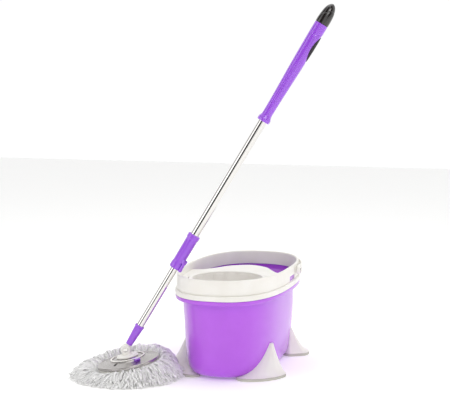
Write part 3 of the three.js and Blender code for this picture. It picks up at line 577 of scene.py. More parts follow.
# A rounded bar carried along the back of the oval from one pivot to the other, with an eye at each end.
def makeHandle():
    outer, inner = handle["halfWidth"], handle["halfWidth"] - handle["thickness"]
    low, high = handle["pivotZ"] - handle["height"] / 2, handle["pivotZ"] + handle["height"] / 2
    section = softened([(inner, low), (outer, low), (outer, high), (inner, high)], 1.9, closed=True, steps=5)
    middle = section.mean(0)
    section = np.vstack([section, section[:1]])
    startAngle = math.asin((handle["pivotY"] / (handle["halfWidth"] + oval["stretch"])) ** (oval["power"] / 2))
    angle = np.linspace(startAngle, math.pi - startAngle, 150)[:, None]
    x, y = ovalPoints(section[None, :, 0], angle)
    bar = np.stack([x, y, section[None, :, 1] + 0 * angle], -1)
    ends = [np.broadcast_to(bar[i].mean(0), bar[i].shape)[None] for i in (0, -1)]
    bar = np.concatenate([ends[0], bar, ends[1]], 0)
    parts = [(placed(bar, bucketPlace), gridFaces(bar.shape[0], bar.shape[1]))]
    for side in (-1, 1):
        end = outer + handle["bossReach"]
        r, bore = handle["eyeRadius"], handle["boreRadius"]
        profile = softened([(bore, inner), (r, inner), (r, outer + 1), (r - 1.5, end), (bore, end),
                            (bore, inner)], [0, 0.8, 1.5, 1.5, 0.4, 0])
        parts.append(solidPart(crossBar(profile, side, handle["pivotY"], handle["pivotZ"]), bucketPlace))
    makePiece("carryHandleFine", parts, whitePolypropylene, "handle", ["carry_handle"])
    for side, name in ((1, "right"), (-1, "left")):
        end = outer + handle["bossReach"] + 0.4
        r = handle["pinRadius"]
        start = handle["pinStart"]
        profile = softened([(0, start), (r, start), (r, end), (handle["headRadius"], end),
                            (handle["headRadius"], end + 2), (0, end + 2)], [0, 0.5, 0.1, 0.3, 1.2, 0])
        grid = crossBar(profile, side, handle["pivotY"], handle["pivotZ"])
        makePiece(f"handlePinFine_{name}", [solidPart(grid, bucketPlace)], polishedSteel, "bucket",
                  [f"handle_pin_{name}"])


makeShell()
makeFeet()
makeCollar()
makeHandle()
print("bucket made")


basket = {"top": 240, "depth": 126, "rimRadius": 96.5, "bodyRadius": 90.5, "footTaper": 10, "wall": 2.2,
          "slots": 18, "slotWidth": 8, "slotLength": 66, "hubFoot": 30, "hubTop": 15, "hubHeight": 38,
          "bore": 7.8}


# The wall: radius falls evenly to the foot, on a grid whose cells in the slots are left out; a slot's
# end rows are drawn in so that it ends in a half round.
def basketWall():
    low, high = basket["top"] - basket["depth"], basket["top"] - 2.4
    perSlot = 12
    count = basket["slots"] * perSlot
    angle = np.arange(count) * 2 * math.pi / count
    middle = low + basket["depth"] / 2 - 4
    slotLow, slotHigh = middle - basket["slotLength"] / 2, middle + basket["slotLength"] / 2
    height = np.concatenate([np.linspace(low, slotLow, 5), np.linspace(slotLow, slotHigh, 20)[1:-1],
                             np.linspace(slotHigh, high, 6)])
    radius = basket["bodyRadius"] - basket["footTaper"] * (high - height) / (high - low)
    radius = np.where(height < low + 6, radius - (low + 6 - height) * 0.5, radius)
    spread = np.broadcast_to(angle[:, None], (count, len(height))).copy()
    phase = (np.arange(count) % perSlot) - perSlot / 2
    slotHalf = basket["slotWidth"] / 2 / basket["bodyRadius"]
    rounding = np.sqrt(np.clip(1 - ((np.abs(height - middle) - basket["slotLength"] / 2 + 4) / 4) ** 2, 0.04, 1))
    rounding = np.where(np.abs(height - middle) < basket["slotLength"] / 2 - 4, 1, rounding)
    edge = np.abs(phase) == 2
    centre = angle - phase * 2 * math.pi / count
    spread[edge] = centre[edge][:, None] + np.sign(phase[edge])[:, None] * slotHalf * rounding[None, :]
    grid = np.stack([radius * np.cos(spread), radius * np.sin(spread), height + 0 * spread], -1)
    faces = gridFaces(count, len(height), closeRows=True)
    row, column = faces[:, 0] // len(height), faces[:, 0] % len(height)
    slotPhase = (row % perSlot) - perSlot / 2
    cell = height[column]
    inSlot = (slotPhase >= -2) & (slotPhase < 2) & (cell >= slotLow - 0.1) & (cell < slotHigh - 0.1)
    return placed(grid, basketPlace), faces[~inSlot]


# The basket: its slotted wall given a thickness, a turned rim, a floor that rises to the hub, the hub's cap,
# and the pedestal that it all spins on.
def makeBasket():
    wall = makePiece("basketWall", [basketWall()], whitePolypropylene, "basket",
                     ["spin_basket"])
    thickness = wall.modifiers.new("wallThickness", "SOLIDIFY")
    thickness.thickness = basket["wall"] * mm
    thickness.offset = -1
    low, top = basket["top"] - basket["depth"], basket["top"]
    footRadius = basket["bodyRadius"] - basket["footTaper"]
    rim = softened([(basket["bodyRadius"] - 2.4, top - 6), (basket["bodyRadius"] + 0.4, top - 6),
                    (basket["bodyRadius"] + 0.8, top - 2.4), (basket["rimRadius"], top - 2.6),
                    (basket["rimRadius"], top), (basket["bodyRadius"] - 2.4, top),
                    (basket["bodyRadius"] - 2.4, top - 6)], [0, 0.6, 0.8, 0.8, 1.1, 1.6, 0])
    hub = softened([(footRadius - 3.4, low), (footRadius - 3.4, low + 2.2), (basket["hubFoot"], low + 2.2),
                    (basket["hubTop"], low + basket["hubHeight"]), (basket["bore"], low + basket["hubHeight"]),
                    (basket["bore"], low + basket["hubHeight"] - 2.2),
                    (basket["hubTop"] - 2.2, low + basket["hubHeight"] - 2.2),
                    (basket["hubFoot"] - 2.2, low), (footRadius - 3.4, low)], [0, 1, 4, 2.4, 0.4, 0.4, 1.5, 3, 0])
    makePiece("basketRimAndFloor", [solidPart(turned(rim, 144), basketPlace),
                                    solidPart(turned(hub, 144), basketPlace)],
              whitePolypropylene, "basket")
    capLow = low + basket["hubHeight"] + 0.3
    cap = softened([(0, capLow), (15, capLow), (15, capLow + 2), (11, capLow + 6), (5, capLow + 8),
                    (0, capLow + 8.5)], [0, 0.4, 1.2, 2, 2, 0])
    makePiece("basketCapFine", [solidPart(turned(cap, 72), basketPlace)], whitePolypropylene, "basket",
              ["basket_cap"])
    base, high = shell["floor"] + shell["wall"] + 0.3, low - 3
    pedestal = softened([(0, base), (44, base), (44, base + 4), (24, base + 20), (13, high - 12), (13, high),
                         (4.3, high), (4.3, high - 24), (0, high - 24)], [0, 1, 1.5, 8, 6, 0.8, 0.4, 0.4, 0])
    makePiece("pedestalFine", [solidPart(turned(pedestal, 72), basketPlace)], whitePolypropylene, "bucket",
              ["basket_pedestal"])


makeBasket()
print("basket made")


head = {"plateRadius": 77.5, "rise": 9, "thickness": 2, "skirt": 6, "trimRadius": 41, "hubRadius": 27,
        "bore": 13.9, "tabBearing": -57, "tabWidth": 14, "tabStart": 30.3, "tabEnd": 53.6,
        "windowBearing": -122, "knee": 28.2}


# A map for metal pieces: once round in u, and length along the profile in v.
def turnedMap(grid):
    rows, columns = grid.shape[:2]
    steps = np.linalg.norm(np.diff(grid[0], axis=0), axis=1)
    along = np.concatenate([[0], np.cumsum(steps)]) / steelLook["mapLength"]
    around = np.abs(np.linspace(-1, 1, rows, endpoint=False))
    u, v = np.broadcast_to(around[:, None], (rows, columns)), np.broadcast_to(along[None], (rows, columns))
    return np.stack([u, v], -1).reshape(-1, 2)


# A block standing on the plate at a bearing, its length along the radius.
def radialBox(start, end, width, low, high, bearing, corner):
    grid = roundedBox(end - start, width, low, high, corner, ((start + end) / 2, 0))
    return atBearing(grid, bearing)


# The plate: a shallow dome with a step under its trim ring and a skirt, turned about the swivel, with a slot
# for the tab and a small window cut through; the trim ring is a turned bead.
def makePlate():
    r, rise, t, ring = head["plateRadius"], head["rise"], head["thickness"], head["trimRadius"]
    profile = softened([
        (head["bore"], rise - t), (30, rise - t), (ring - 3, rise - 4.2), (ring + 3, rise - 6.6),
        (r - 8, -t), (r - 2, -t), (r - 2, -head["skirt"]), (r, -head["skirt"]), (r, -1), (r - 1.5, 0.4),
        (r - 5, 0.8), (r - 8, 0), (ring + 6, rise - 4.6), (ring + 3, rise - 2.2), (ring - 3, rise - 2.2),
        (30, rise), (head["bore"], rise)],
        [0.3, 3, 2, 2, 2, 1, 0.4, 0.4, 1, 1, 1.5, 2, 2, 1, 1, 3, 0.3], closed=True)
    grid = turned(profile, 160)
    plate = makePiece("mopPlateFine", [solidPart(grid, platePlace, closeColumns=True)], brushedDisc, "plate",
                      ["mop_plate"], uv=turnedMap(grid))
    slot = radialBox(head["hubRadius"] - 4, 54.2, head["tabWidth"] + 0.8, 0, 14, head["tabBearing"], 1.2)
    window = radialBox(45.5, 58, 6, -6, 14, head["windowBearing"], 2.2)
    cutAway(plate, [solidPart(box, platePlace) for box in (slot, window)])
    low = rise - 2.2 + 0.3
    trim = softened([(ring - 2.2, low), (ring + 2.2, low), (ring + 2.2, low + 2.4), (ring - 2.2, low + 2.4)],
                    1.1, closed=True, steps=6)
    makePiece("plateTrimFine", [solidPart(turned(trim, 144), platePlace, closeColumns=True)],
              whitePolypropylene, "plate", ["plate_trim_ring"])


# The tab: two raised pads joined by a low tongue that passes under the trim ring.
def makeTab():
    tongue = radialBox(head["tabStart"], head["tabEnd"], head["tabWidth"] - 1, 3.0, 6.7, head["tabBearing"], 1.2)
    innerPad = radialBox(head["tabStart"], 37.6, head["tabWidth"], 3.4, 9.4, head["tabBearing"], 1.4)
    outerPad = radialBox(46.2, head["tabEnd"], head["tabWidth"], 3.4, 9.6, head["tabBearing"], 1.6)
    makePiece("releaseTabFine", [solidPart(box, platePlace) for box in (tongue, innerPad, outerPad)],
              purpleFittings, "tab", ["release_tab"])


# A disc or bar that lies across the knee, from a radius profile along the plate's Y.
def kneeBar(profile, knee, segments=56):
    grid = turned(profile, segments)
    return np.stack([grid[..., 0], -grid[..., 2], knee + grid[..., 1]], -1)


# The swivel: a turned flange with two upright cheeks, the pin across them, and the ring under the plate
# that holds the yarn.
def makeHub():
    rise, r, knee = head["rise"], head["hubRadius"], head["knee"]
    flange = softened([(0, -4), (13.5, -4), (13.5, rise + 0.4), (r, rise + 0.4), (r, rise + 3),
                       (r - 3, rise + 5), (17, rise + 7), (0, rise + 7)], [0, 0.6, 0.2, 0.6, 1.2, 2, 1.5, 0])
    parts = [solidPart(turned(flange, 96), platePlace)]
    for side in (-1, 1):
        near, far = 8.8 - 2, 8.8 + 2
        eye = softened([(3.3, near), (12, near), (12, far), (9, far + 0.9), (7.4, far + 0.2), (3.3, far + 0.2),
                        (3.3, near)], [0, 0.5, 1.0, 0.8, 0.5, 0.4, 0])
        parts.append(solidPart(kneeBar(eye * np.array([1, side]), knee), platePlace))
        web = roundedBox(19, 4, rise + 5.5, knee - 5, 1.8, (0, side * 8.8))
        parts.append(solidPart(web, platePlace))
    makePiece("hubSwivelFine", parts, whitePolypropylene, "hub", ["hub_swivel"])
    pin = softened([(0, -12), (3, -12), (3, 11.3), (5.2, 11.3), (5.2, 13), (0, 13.3)], [0, 0.5, 0.1, 0.3, 0.9, 0])
    makePiece("kneePinFine", [solidPart(kneeBar(pin, knee), platePlace)], polishedSteel, "hub",
              ["knee_pin"])
    top = -head["skirt"] - 0.3
    ring = softened([(46, top - 6), (74.5, top - 6), (74.5, top), (46, top)], 1.2, closed=True)
    makePiece("strandRingFine", [solidPart(turned(ring, 120), platePlace, closeColumns=True)],
              whitePolypropylene, "mop_yarn", ["strand_ring"])


makePlate()
makeTab()
makeHub()
print("mop head made")


yarn = {"radiusX": 150, "radiusY": 141, "offsetY": 15, "strandRadius": 3.0, "underPlate": 30.4,
        "tiltSlope": 0.1853, "rootRadius": 60, "clearOfPlate": 80, "sections": 13, "sides": 6,
        "footLimit": 13, "moundRadius": 100, "plateReach": 78, "spread": (60, 140),
        "swell": 11, "swellBehind": 19, "swellBefore": 4, "swellTurn": 0.25, "swellPower": 0.75,
        "thinning": 1.7, "droop": 0.25, "thicknessLimits": (1.9, 3.6), "mapTurns": 8,
        "sway": (3, 8), "swayWaves": (3, 7), "lean": 11, "bump": 2.4, "bumpWaves": (6, 12), "loft": 2.5,
        "layers": [("strandsLow", 170, 0.3, 0.98), ("strandsLower", 180, 0.55, 1.0),
                   ("strandsUpper", 190, 0.8, 0.97), ("strandsTop", 210, 1.0, 0.93)]}


# Height of a foot over a point of the floor: the point lies on the loop that is drawn in by 1 - distance/reach.
def footHeight(x, y):
    apex = np.array([-foot["apex"][0], foot["apex"][1]], float)
    outline = footOutline() * np.array([-1.0, 1.0]) - apex
    bearing = np.arctan2(outline[:, 1], outline[:, 0])
    order = np.argsort(bearing)
    reach = np.interp(np.arctan2(y - apex[1], x - apex[0]), bearing[order],
                      np.hypot(outline[:, 0], outline[:, 1])[order], period=2 * math.pi)
    drawn = np.clip(1 - (np.hypot(x - apex[0], y - apex[1]) - 3) / reach, 0, foot["drawn"])
    step = (drawn / foot["drawn"]) ** (1 / foot["flare"])
    return np.where(drawn > 0, foot["soleTop"] + (foot["legTop"] - foot["soleTop"]) * step, 0)


# From the pile's own axes to the bucket's, in millimetres.
def toBucket(x, y):
    world = placed(np.stack([x, y, 0 * x], -1), pilePlace)
    return (world[..., 0] - bucketPlace[0][0]) / mm, (world[..., 1] - bucketPlace[0][1]) / mm


# Height of the pile's top: it leaves the plate's edge, swells a little, more behind, and thins to the floor.
def pileTop(x, y, radial):
    under = yarn["underPlate"] + yarn["tiltSlope"] * np.clip(x, -yarn["plateReach"], yarn["plateReach"])
    bearing = np.arctan2(y, x)
    swell = yarn["swell"] + yarn["swellBehind"] * np.clip(np.sin(bearing + yarn["swellTurn"]), 0, 1) \
        - yarn["swellBefore"] * np.clip(-np.sin(bearing), 0, 1)
    out = np.clip((radial - yarn["clearOfPlate"]) / (yarn["radiusX"] - yarn["clearOfPlate"]), 0, 1)
    return under * (1 - out ** yarn["thinning"]) * (1 - yarn["droop"] * out) \
        + swell * np.sin(math.pi * out ** yarn["swellPower"])


# A point of the pile from its distance and bearing: the circle is narrowed across and, further out, moved back.
def pilePoint(radial, angle):
    squeeze = yarn["radiusY"] / yarn["radiusX"]
    return radial * np.cos(angle), \
        radial * np.sin(angle) * squeeze + yarn["offsetY"] * fade(*yarn["spread"], radial)


# One layer of strands. Each runs out from under the plate along its own bearing, wanders sideways by slow
# waves, follows the pile's top at its layer's share of the height, and lies over what it meets.
def strandLayer(name, count, level, reach, seed):
    random = np.random.default_rng(seed)
    sections, sides = yarn["sections"], yarn["sides"]
    t = np.linspace(0, 1, sections)[None, :]
    bearing = (np.arange(count) + random.uniform(-0.45, 0.45, count))[:, None] * 2 * math.pi / count
    root = yarn["rootRadius"] + random.uniform(-4, 8, (count, 1))
    tip = (yarn["radiusX"] - 3) * reach * random.uniform(0.9, 1.0, (count, 1))
    radial = root + (tip - root) * t
    wander = (random.uniform(*yarn["sway"], (count, 1)) * np.sin(t * random.uniform(*yarn["swayWaves"], (count, 1))
              + random.uniform(0, 6.28, (count, 1))) * t
              + random.uniform(-yarn["lean"], yarn["lean"], (count, 1)) * t ** 2)
    angle = bearing + wander / np.maximum(radial, yarn["rootRadius"])
    x, y = pilePoint(radial, angle)
    bx, by = toBucket(x, y)
    blocked = footHeight(bx, by) > yarn["footLimit"] + 4 * level
    firstBlocked = np.where(blocked.any(1), np.argmax(blocked, 1), sections - 1)
    limit = np.take_along_axis(radial, firstBlocked[:, None], 1)
    tip = np.where(blocked.any(1)[:, None], limit - 4, tip)
    radial = root + (tip - root) * t
    x, y = pilePoint(radial, angle)
    bx, by = toBucket(x, y)
    over = footHeight(bx, by)
    top = pileTop(x, y, radial) * level
    bumps = yarn["bump"] * np.sin(t * random.uniform(*yarn["bumpWaves"], (count, 1))
                                  + random.uniform(0, 6.28, (count, 1)))
    lift = fade(74, 92, radial)
    z = yarn["strandRadius"] + np.maximum(top * (1 - 0.12 * (1 - lift)) - 3.2 + bumps * lift
                                           + random.uniform(-yarn["loft"], yarn["loft"], (count, 1)) * lift, 0.2)
    z = np.maximum(z, over + yarn["strandRadius"] + 0.6)
    path = placed(np.stack([x, y, z], -1), pilePlace)
    along = np.gradient(path, axis=1)
    along /= np.linalg.norm(along, axis=2, keepdims=True)
    across = np.cross(along, np.array([0, 0, 1.0]))
    across /= np.linalg.norm(across, axis=2, keepdims=True)
    upward = np.cross(across, along)
    thick = yarn["strandRadius"] * (1 + 0.16 * random.standard_normal((count, sections)))
    thick = np.clip(thick, *yarn["thicknessLimits"]) * random.uniform(0.85, 1.12, (count, 1))
    thick[:, -1] *= 0.45
    turn = np.linspace(0, 2 * math.pi, sides, endpoint=False)
    ring = across[:, :, None] * np.cos(turn)[:, None] + upward[:, :, None] * np.sin(turn)[:, None]
    skin = path[:, :, None] + ring * thick[:, :, None, None] * mm
    start, end = path[:, :1, None].repeat(sides, 2), path[:, -1:, None] + along[:, -1:, None] * 1.5 * mm
    skin = np.concatenate([start, skin, end.repeat(sides, 2)], 1)
    rows = sections + 2
    one = gridFaces(rows, sides, closeColumns=True)
    faces = (one[None] + (np.arange(count) * rows * sides)[:, None, None]).reshape(-1, 4)
    v = np.broadcast_to(np.linspace(0, 1, rows)[None, :, None], (count, rows, sides))
    u = np.broadcast_to(np.abs(np.linspace(-1, 1, sides, endpoint=False)), (count, rows, sides))
    shift = random.uniform(0, 1, (count, 1, 1))
    return skin, faces, np.stack([u, v + shift], -1).reshape(-1, 2)


# The yarn under the strands: a low mound with a flat foot, closed in the middle.
def makeMound():
    share = np.concatenate([[0, 1, 1.0], np.linspace(0.97, 0, 26)])
    angle = np.linspace(0, 2 * math.pi, 144, endpoint=False)[:, None]
    radial = yarn["moundRadius"] * share[None, :]
    squeeze = yarn["radiusY"] / yarn["radiusX"]
    x = radial * np.cos(angle)
    y = radial * np.sin(angle) * squeeze + yarn["offsetY"] * 0.6 * fade(40, 100, radial)
    lumps = 1.2 * np.sin(angle * 31 + radial * 0.05) * fade(30, 80, radial)
    top = pileTop(x, y, radial) * 0.8 - 4 + lumps
    z = np.where(np.arange(len(share))[None, :] < 2, 0.5 + 0 * x, np.maximum(top, 1.5))
    grid = np.stack([x, y, z], -1)
    uv = np.stack([np.broadcast_to(angle / 6.28 * yarn["mapTurns"], x.shape),
                   np.broadcast_to(radial / yarn["moundRadius"], x.shape)], -1).reshape(-1, 2)
    makePiece("yarnMound", [solidPart(grid, pilePlace)], microfibreYarn, "mop_yarn", uv=uv)


# The yarn: the mound and then its layers of strands, each with its own seed; the top one stands for the pile.
def makeYarn():
    makeMound()
    for number, (name, count, level, reach) in enumerate(yarn["layers"]):
        skin, faces, uv = strandLayer(name, count, level, reach, 11 + number)
        makePiece(name, [(skin, faces)], microfibreYarn, "mop_yarn",
                  ["strand_pile"] if name == "strandsTop" else (), sharpAngle=80, uv=uv)


makeYarn()
print("yarn made")


pole = {"lowerRadius": 9, "upperRadius": 10.5, "wall": 0.7, "socketStart": 14, "socketEnd": 69.5,
        "lowerTop": 430, "sleeveStart": 236.5, "sleeveEnd": 333, "sleeveRadius": 15.2, "upperStart": 264.5,
        "gripStart": 656, "gripEnd": 928, "capLength": 55, "latchBearing": -42, "stemTop": 40,
        "lowerStart": 41.3, "tubeInGrip": 8, "pinBore": 3.3, "flats": 4, "flatDepth": 0.35, "ribHeight": 0.9}


# A tube: outside, end, inside and back, with its rims softened, and its map for the drawn marks.
def makeTube(name, outer, start, end, body, node):
    inner = outer - pole["wall"]
    count = 24
    z = np.linspace(start + 1, end - 1, count)
    profile = np.vstack([np.column_stack([np.full(count, outer), z]), [(outer - 0.2, end)],
                         [(inner + 0.1, end)], np.column_stack([np.full(count, inner), z[::-1]]),
                         [(inner + 0.1, start)], [(outer - 0.2, start)]])
    grid = turned(profile, 72)
    makePiece(name, [solidPart(grid, polePlace, closeColumns=True)], polishedSteel, body,
              [node], uv=turnedMap(grid))


# The knuckle: a flat eye turned about the knee's pin, and a round stem that goes up into the socket.
def makeKnuckle():
    bore, top = pole["pinBore"], pole["stemTop"]
    eye = softened([(bore, -6.2), (11, -6.2), (11, 6.2), (bore, 6.2), (bore, -6.2)], [0, 1, 1, 0.3, 0])
    stem = softened([(0, 6), (6.6, 6), (6.6, top), (0, top)], [0, 1, 0.4, 0])
    parts = [solidPart(kneeBar(eye, 0), polePlace), solidPart(turned(stem, 64), polePlace)]
    makePiece("poleKnuckleFine", parts, whitePolypropylene, "lower_pole", ["pole_knuckle"])


# The socket: a cone that widens upwards to a raised ring, with long flats pressed lightly into its sides.
def makeSocket():
    start, end = pole["socketStart"], pole["socketEnd"]
    profile = softened([(6.9, start), (8, start), (8.4, start + 4), (10.6, end - 20), (11.2, end - 6),
                        (12, end - 4.5), (12, end), (9.3, end), (9.3, 41), (6.9, 41), (6.9, start)],
                       [0, 0.6, 3, 8, 1, 0.8, 0.8, 0.3, 0.3, 0.3, 0], steps=8)
    grid = turned(profile, 120)
    angle = np.arctan2(grid[..., 1], grid[..., 0])
    radius = np.hypot(grid[..., 0], grid[..., 1])
    flat = pole["flatDepth"] * np.cos(pole["flats"] * angle) * fade(start + 4, start + 14, grid[..., 2]) \
        * (1 - fade(end - 16, end - 8, grid[..., 2])) * (radius > 8.2)
    grid = widened(grid, (radius - flat.clip(0)) / radius)
    makePiece("poleSocketFine", [solidPart(grid, polePlace)], purpleFittings, "lower_pole",
              ["pole_socket"])


# The lock sleeve: foot bead, long body with two raised ribs facing forwards, and a ring at its top.
def makeSleeve():
    start, end, r = pole["sleeveStart"], pole["sleeveEnd"], pole["sleeveRadius"]
    outside = softened([(9.5, start), (r - 1, start), (r, start + 2), (r, start + 14), (r - 1.2, start + 18),
                        (r - 0.8, end - 13), (r + 0.5, end - 11.5), (r + 0.5, end - 2), (r - 0.8, end),
                        (10.8, end)], [0, 1, 1.4, 2, 3, 1.2, 0.8, 1.4, 1, 0], steps=7)
    z = outside[:, 1]
    extra = np.linspace(start + 20, end - 15, 24)
    keep = (z < start + 19) | (z > end - 14.5)
    low = outside[keep & (z < start + 50)]
    high = outside[keep & (z >= start + 50)]
    body = np.column_stack([np.interp(extra, [start + 20, end - 15], [r - 1.2, r - 0.8]), extra])
    inside = np.array([(10.8, start + 27), (9.4, start + 27), (9.4, start)])
    profile = np.vstack([low, body, high, inside])
    grid = turned(profile, 128)
    angle = np.degrees(np.arctan2(grid[..., 1], grid[..., 0]))
    along = fade(start + 18, start + 26, grid[..., 2]) * (1 - fade(end - 22, end - 15, grid[..., 2]))
    radius = np.hypot(grid[..., 0], grid[..., 1])
    rib = np.exp(-((angle + 118) / 9) ** 2) + np.exp(-((angle + 62) / 9) ** 2) \
        + np.exp(-((angle - 90) / 12) ** 2)
    grid = widened(grid, 1 + (radius > 12) * along * rib * pole["ribHeight"] / radius)
    parts = [solidPart(grid, polePlace)]
    for side in (-1, 1):
        ear = roundedBox(8, 2.4, start + 21, start + 31, 1, (r + 1.2, side * 5.1))
        parts.append(solidPart(atBearing(ear, pole["latchBearing"]), polePlace))
    makePiece("lockSleeveFine", parts, purpleFittings, "upper_pole", ["lock_sleeve"])


# The latch: a rounded arm with an eye at its pin and a hooked toe.
def makeLatch():
    reach, start = pole["sleeveRadius"] + 3, pole["sleeveStart"]
    outline = softened([(reach - 2.2, start + 28.2), (reach + 2.4, start + 28.4), (reach + 2.6, start + 8),
                        (reach + 4, start + 2), (reach + 2, start - 1.2), (reach - 1.6, start - 0.6),
                        (reach - 1.4, start + 4), (reach - 1.2, start + 20)], [2, 2, 3, 2, 2, 2, 2, 3],
                       closed=True, steps=7)
    centre = outline.mean(0)
    loops = [centre + (outline - centre) * share for share in (0, 0.88, 1, 1, 0.88, 0)]
    across = [-3.6, -3.6, -2.9, 2.9, 3.6, 3.6]
    grid = np.stack([np.column_stack([loop[:, 0], np.full(len(loop), y), loop[:, 1]])
                     for loop, y in zip(loops, across)], 1)
    makePiece("lockLatchFine", [solidPart(atBearing(grid, pole["latchBearing"]), polePlace)], purpleFittings,
              "lever", ["lock_lever"])


grip = {"side": [(0, 15.6), (2, 16.2), (10, 16.2), (14, 13.4), (20, 12.4), (50, 12.6), (90, 13.6), (140, 15.2),
                 (190, 16.2), (235, 16.8), (272, 16.8)],
        "padCentre": 866, "padHalfLength": 34, "padHalfWidth": 17, "flutes": 5, "fluteDepth": 0.55,
        "grooveBearings": (-112, -62, 62, 112), "grooveDepth": 0.75, "grooveWidth": 7, "inlayDepth": 0.7,
        "padGroove": 0.9, "padRib": 0.22, "padRibPitch": 4}


# The grip's plain radius at a height.
def gripRadius(z):
    rise, radius = np.array(grip["side"], float).T
    return np.interp(z - pole["gripStart"], rise, radius)


# The grip: a long swell with a scalloped foot, two finger grooves, an inlay line under the cap that dips
# towards the front, and a groove round the thumb pad.
def makeGrip():
    start, end = pole["gripStart"], pole["gripEnd"]
    z = np.unique(np.concatenate([np.linspace(start + 0.6, start + 24, 30), np.linspace(start + 24, end - 70, 90),
                                  np.linspace(end - 70, end - 0.6, 90)]))
    smooth = np.convolve(np.pad(gripRadius(z), 4, mode="edge"), np.ones(9) / 9, mode="valid")
    angle = np.linspace(0, 2 * math.pi, 180, endpoint=False)[:, None]
    degrees = (np.degrees(angle) + 180) % 360 - 180
    radius = smooth[None, :] + 0 * angle
    nearFoot = 1 - fade(start + 9, start + 16, z)
    radius = radius + grip["fluteDepth"] * nearFoot[None, :] * np.abs(np.cos(grip["flutes"] * angle)) \
        - 0.3 * nearFoot[None, :]
    long = fade(start + 26, start + 60, z) * (1 - fade(start + 150, start + 185, z))
    for bearing in grip["grooveBearings"]:
        radius = radius - grip["grooveDepth"] * long[None, :] \
            * np.exp(-((degrees - bearing) / grip["grooveWidth"]) ** 2)
    inlay = end - 19 - 13 * np.cos(np.radians(degrees + 112))
    radius = radius - grip["inlayDepth"] * np.exp(-((z[None, :] - inlay) / 1.1) ** 2)
    sideways = np.radians(degrees) * smooth[None, :]
    ellipse = np.hypot((z[None, :] - grip["padCentre"]) / grip["padHalfLength"],
                       sideways / grip["padHalfWidth"])
    radius = radius - grip["padGroove"] * np.exp(-((ellipse - 1.06) / 0.07) ** 2) \
        - 0.8 * (1 - fade(0.9, 1.05, ellipse))
    height = np.broadcast_to(z[None, :], radius.shape)
    ends = [(10.8, start), (smooth[0] - 0.9, start)], [(smooth[-1] - 0.9, end), (10.8, end), (10.8, start)]
    first = [np.full((180, 1), r) for r, _ in ends[0]]
    last = [np.full((180, 1), r) for r, _ in ends[1]]
    radius = np.hstack([*first, radius, *last])
    height = np.hstack([*[np.full((180, 1), h) for _, h in ends[0]], height,
                        *[np.full((180, 1), h) for _, h in ends[1]]])
    grid = np.stack([radius * np.cos(angle), radius * np.sin(angle), height], -1)
    makePiece("gripFine", [solidPart(grid, polePlace)], purpleFittings, "upper_pole",
              ["grip"])


# The thumb pad: an oval lens on the grip, its face domed and lightly ribbed across.
def makeThumbPad():
    share = np.concatenate([np.linspace(0, 1, 22), np.linspace(1, 0, 8)])[None, :]
    face = np.concatenate([np.ones(22), -np.ones(8)])[None, :]
    angle = np.linspace(0, 2 * math.pi, 72, endpoint=False)[:, None]
    z = grip["padCentre"] + grip["padHalfLength"] * share * np.sin(angle)
    sideways = grip["padHalfWidth"] * share * np.cos(angle)
    dome = np.sqrt(np.clip(1 - share ** 2, 0, 1)) + 0 * angle
    ribs = grip["padRib"] * np.cos((z - grip["padCentre"]) * 2 * math.pi / grip["padRibPitch"]) \
        * fade(0, 0.5, dome)
    radius = gripRadius(z) - 0.4 + np.where(face > 0, 1.0 * dome + ribs, -1.8 * dome)
    around = sideways / gripRadius(z)
    grid = np.stack([radius * np.cos(around), radius * np.sin(around), z], -1)
    makePiece("thumbPadFine", [solidPart(grid, polePlace)], darkElastomer, "upper_pole",
              ["thumb_pad"])


# The end cap: a bullet with a parting line that dips on its front, and a small step at its foot.
def makeEndCap():
    low, top = pole["gripEnd"] + 0.3, pole["gripEnd"] + pole["capLength"]
    side = throughPoints([(17, 0.8), (17, 12), (16.4, 24), (14.6, 36), (11.6, 45), (7.2, 51.4), (3, 54.2),
                          (0.01, 54.7)], 12)
    profile = np.vstack([[(0, low), (16.3, low)], side + np.array([0, low])])
    grid = turned(profile, 144)
    angle = np.arctan2(grid[..., 1], grid[..., 0])
    parting = low + 25 + 13 * np.cos(angle + math.radians(35))
    radius = np.maximum(np.hypot(grid[..., 0], grid[..., 1]), 1e-6)
    depth = 0.75 * np.exp(-((grid[..., 2] - parting) / 1.0) ** 2) * (radius > 8)
    raised = 0.5 * fade(-0.6, 0.6, grid[..., 2] - parting) * (radius > 2)
    grid = widened(grid, (radius - depth - raised) / radius)
    makePiece("endCapFine", [solidPart(grid, polePlace)], polishedAbs, "upper_pole",
              ["end_cap"])


makeTube("lowerTubeFine", pole["lowerRadius"], pole["lowerStart"], pole["lowerTop"], "lower_pole", "lower_tube")
makeTube("upperTubeFine", pole["upperRadius"], pole["upperStart"], pole["gripEnd"] - pole["tubeInGrip"],
         "upper_pole", "upper_tube")
makeKnuckle()
makeSocket()
makeSleeve()
makeLatch()
makeGrip()
makeThumbPad()
makeEndCap()
print("pole made")


keptFinish = {"spindle_bush": naturalNylon, "spindle_pin": polishedSteel, "hub_clip": polishedSteel,
              "clutch_housing": naturalNylon, "drive_nut": naturalNylon, "drive_rod": polishedSteel,
              "rod_anchor": naturalNylon, "lever_pin": polishedSteel}
for nodeName, finish in keptFinish.items():
    mesh = frame["nodes"][nodeName].data
    mesh.materials.clear()
    mesh.materials.append(finish)
print("kept parts finished")


studio = {"heading": 17.34, "pitch": 6.48, "lens": 97.71, "distance": 3.2, "right": 0.038, "up": 0.421,
          "floorHalf": 6.0, "floorGlow": 0.18, "roomStrength": 1.02, "aim": (0.0, 0.0, 0.2),
          "lights": [("keyLight", (2.2, -2.6, 2.4), 1.6, 30, "#FFFDFA"),
                     ("fillLight", (-2.4, -1.6, 1.8), 2.0, 8, "#FFFFFF"),
                     ("topLight", (0.1, 0.3, 3.2), 2.4, 20, "#FFFFFF"),
                     ("mopLight", (-1.1, -1.5, 0.9), 0.9, 2, "#FFFFFF")]}


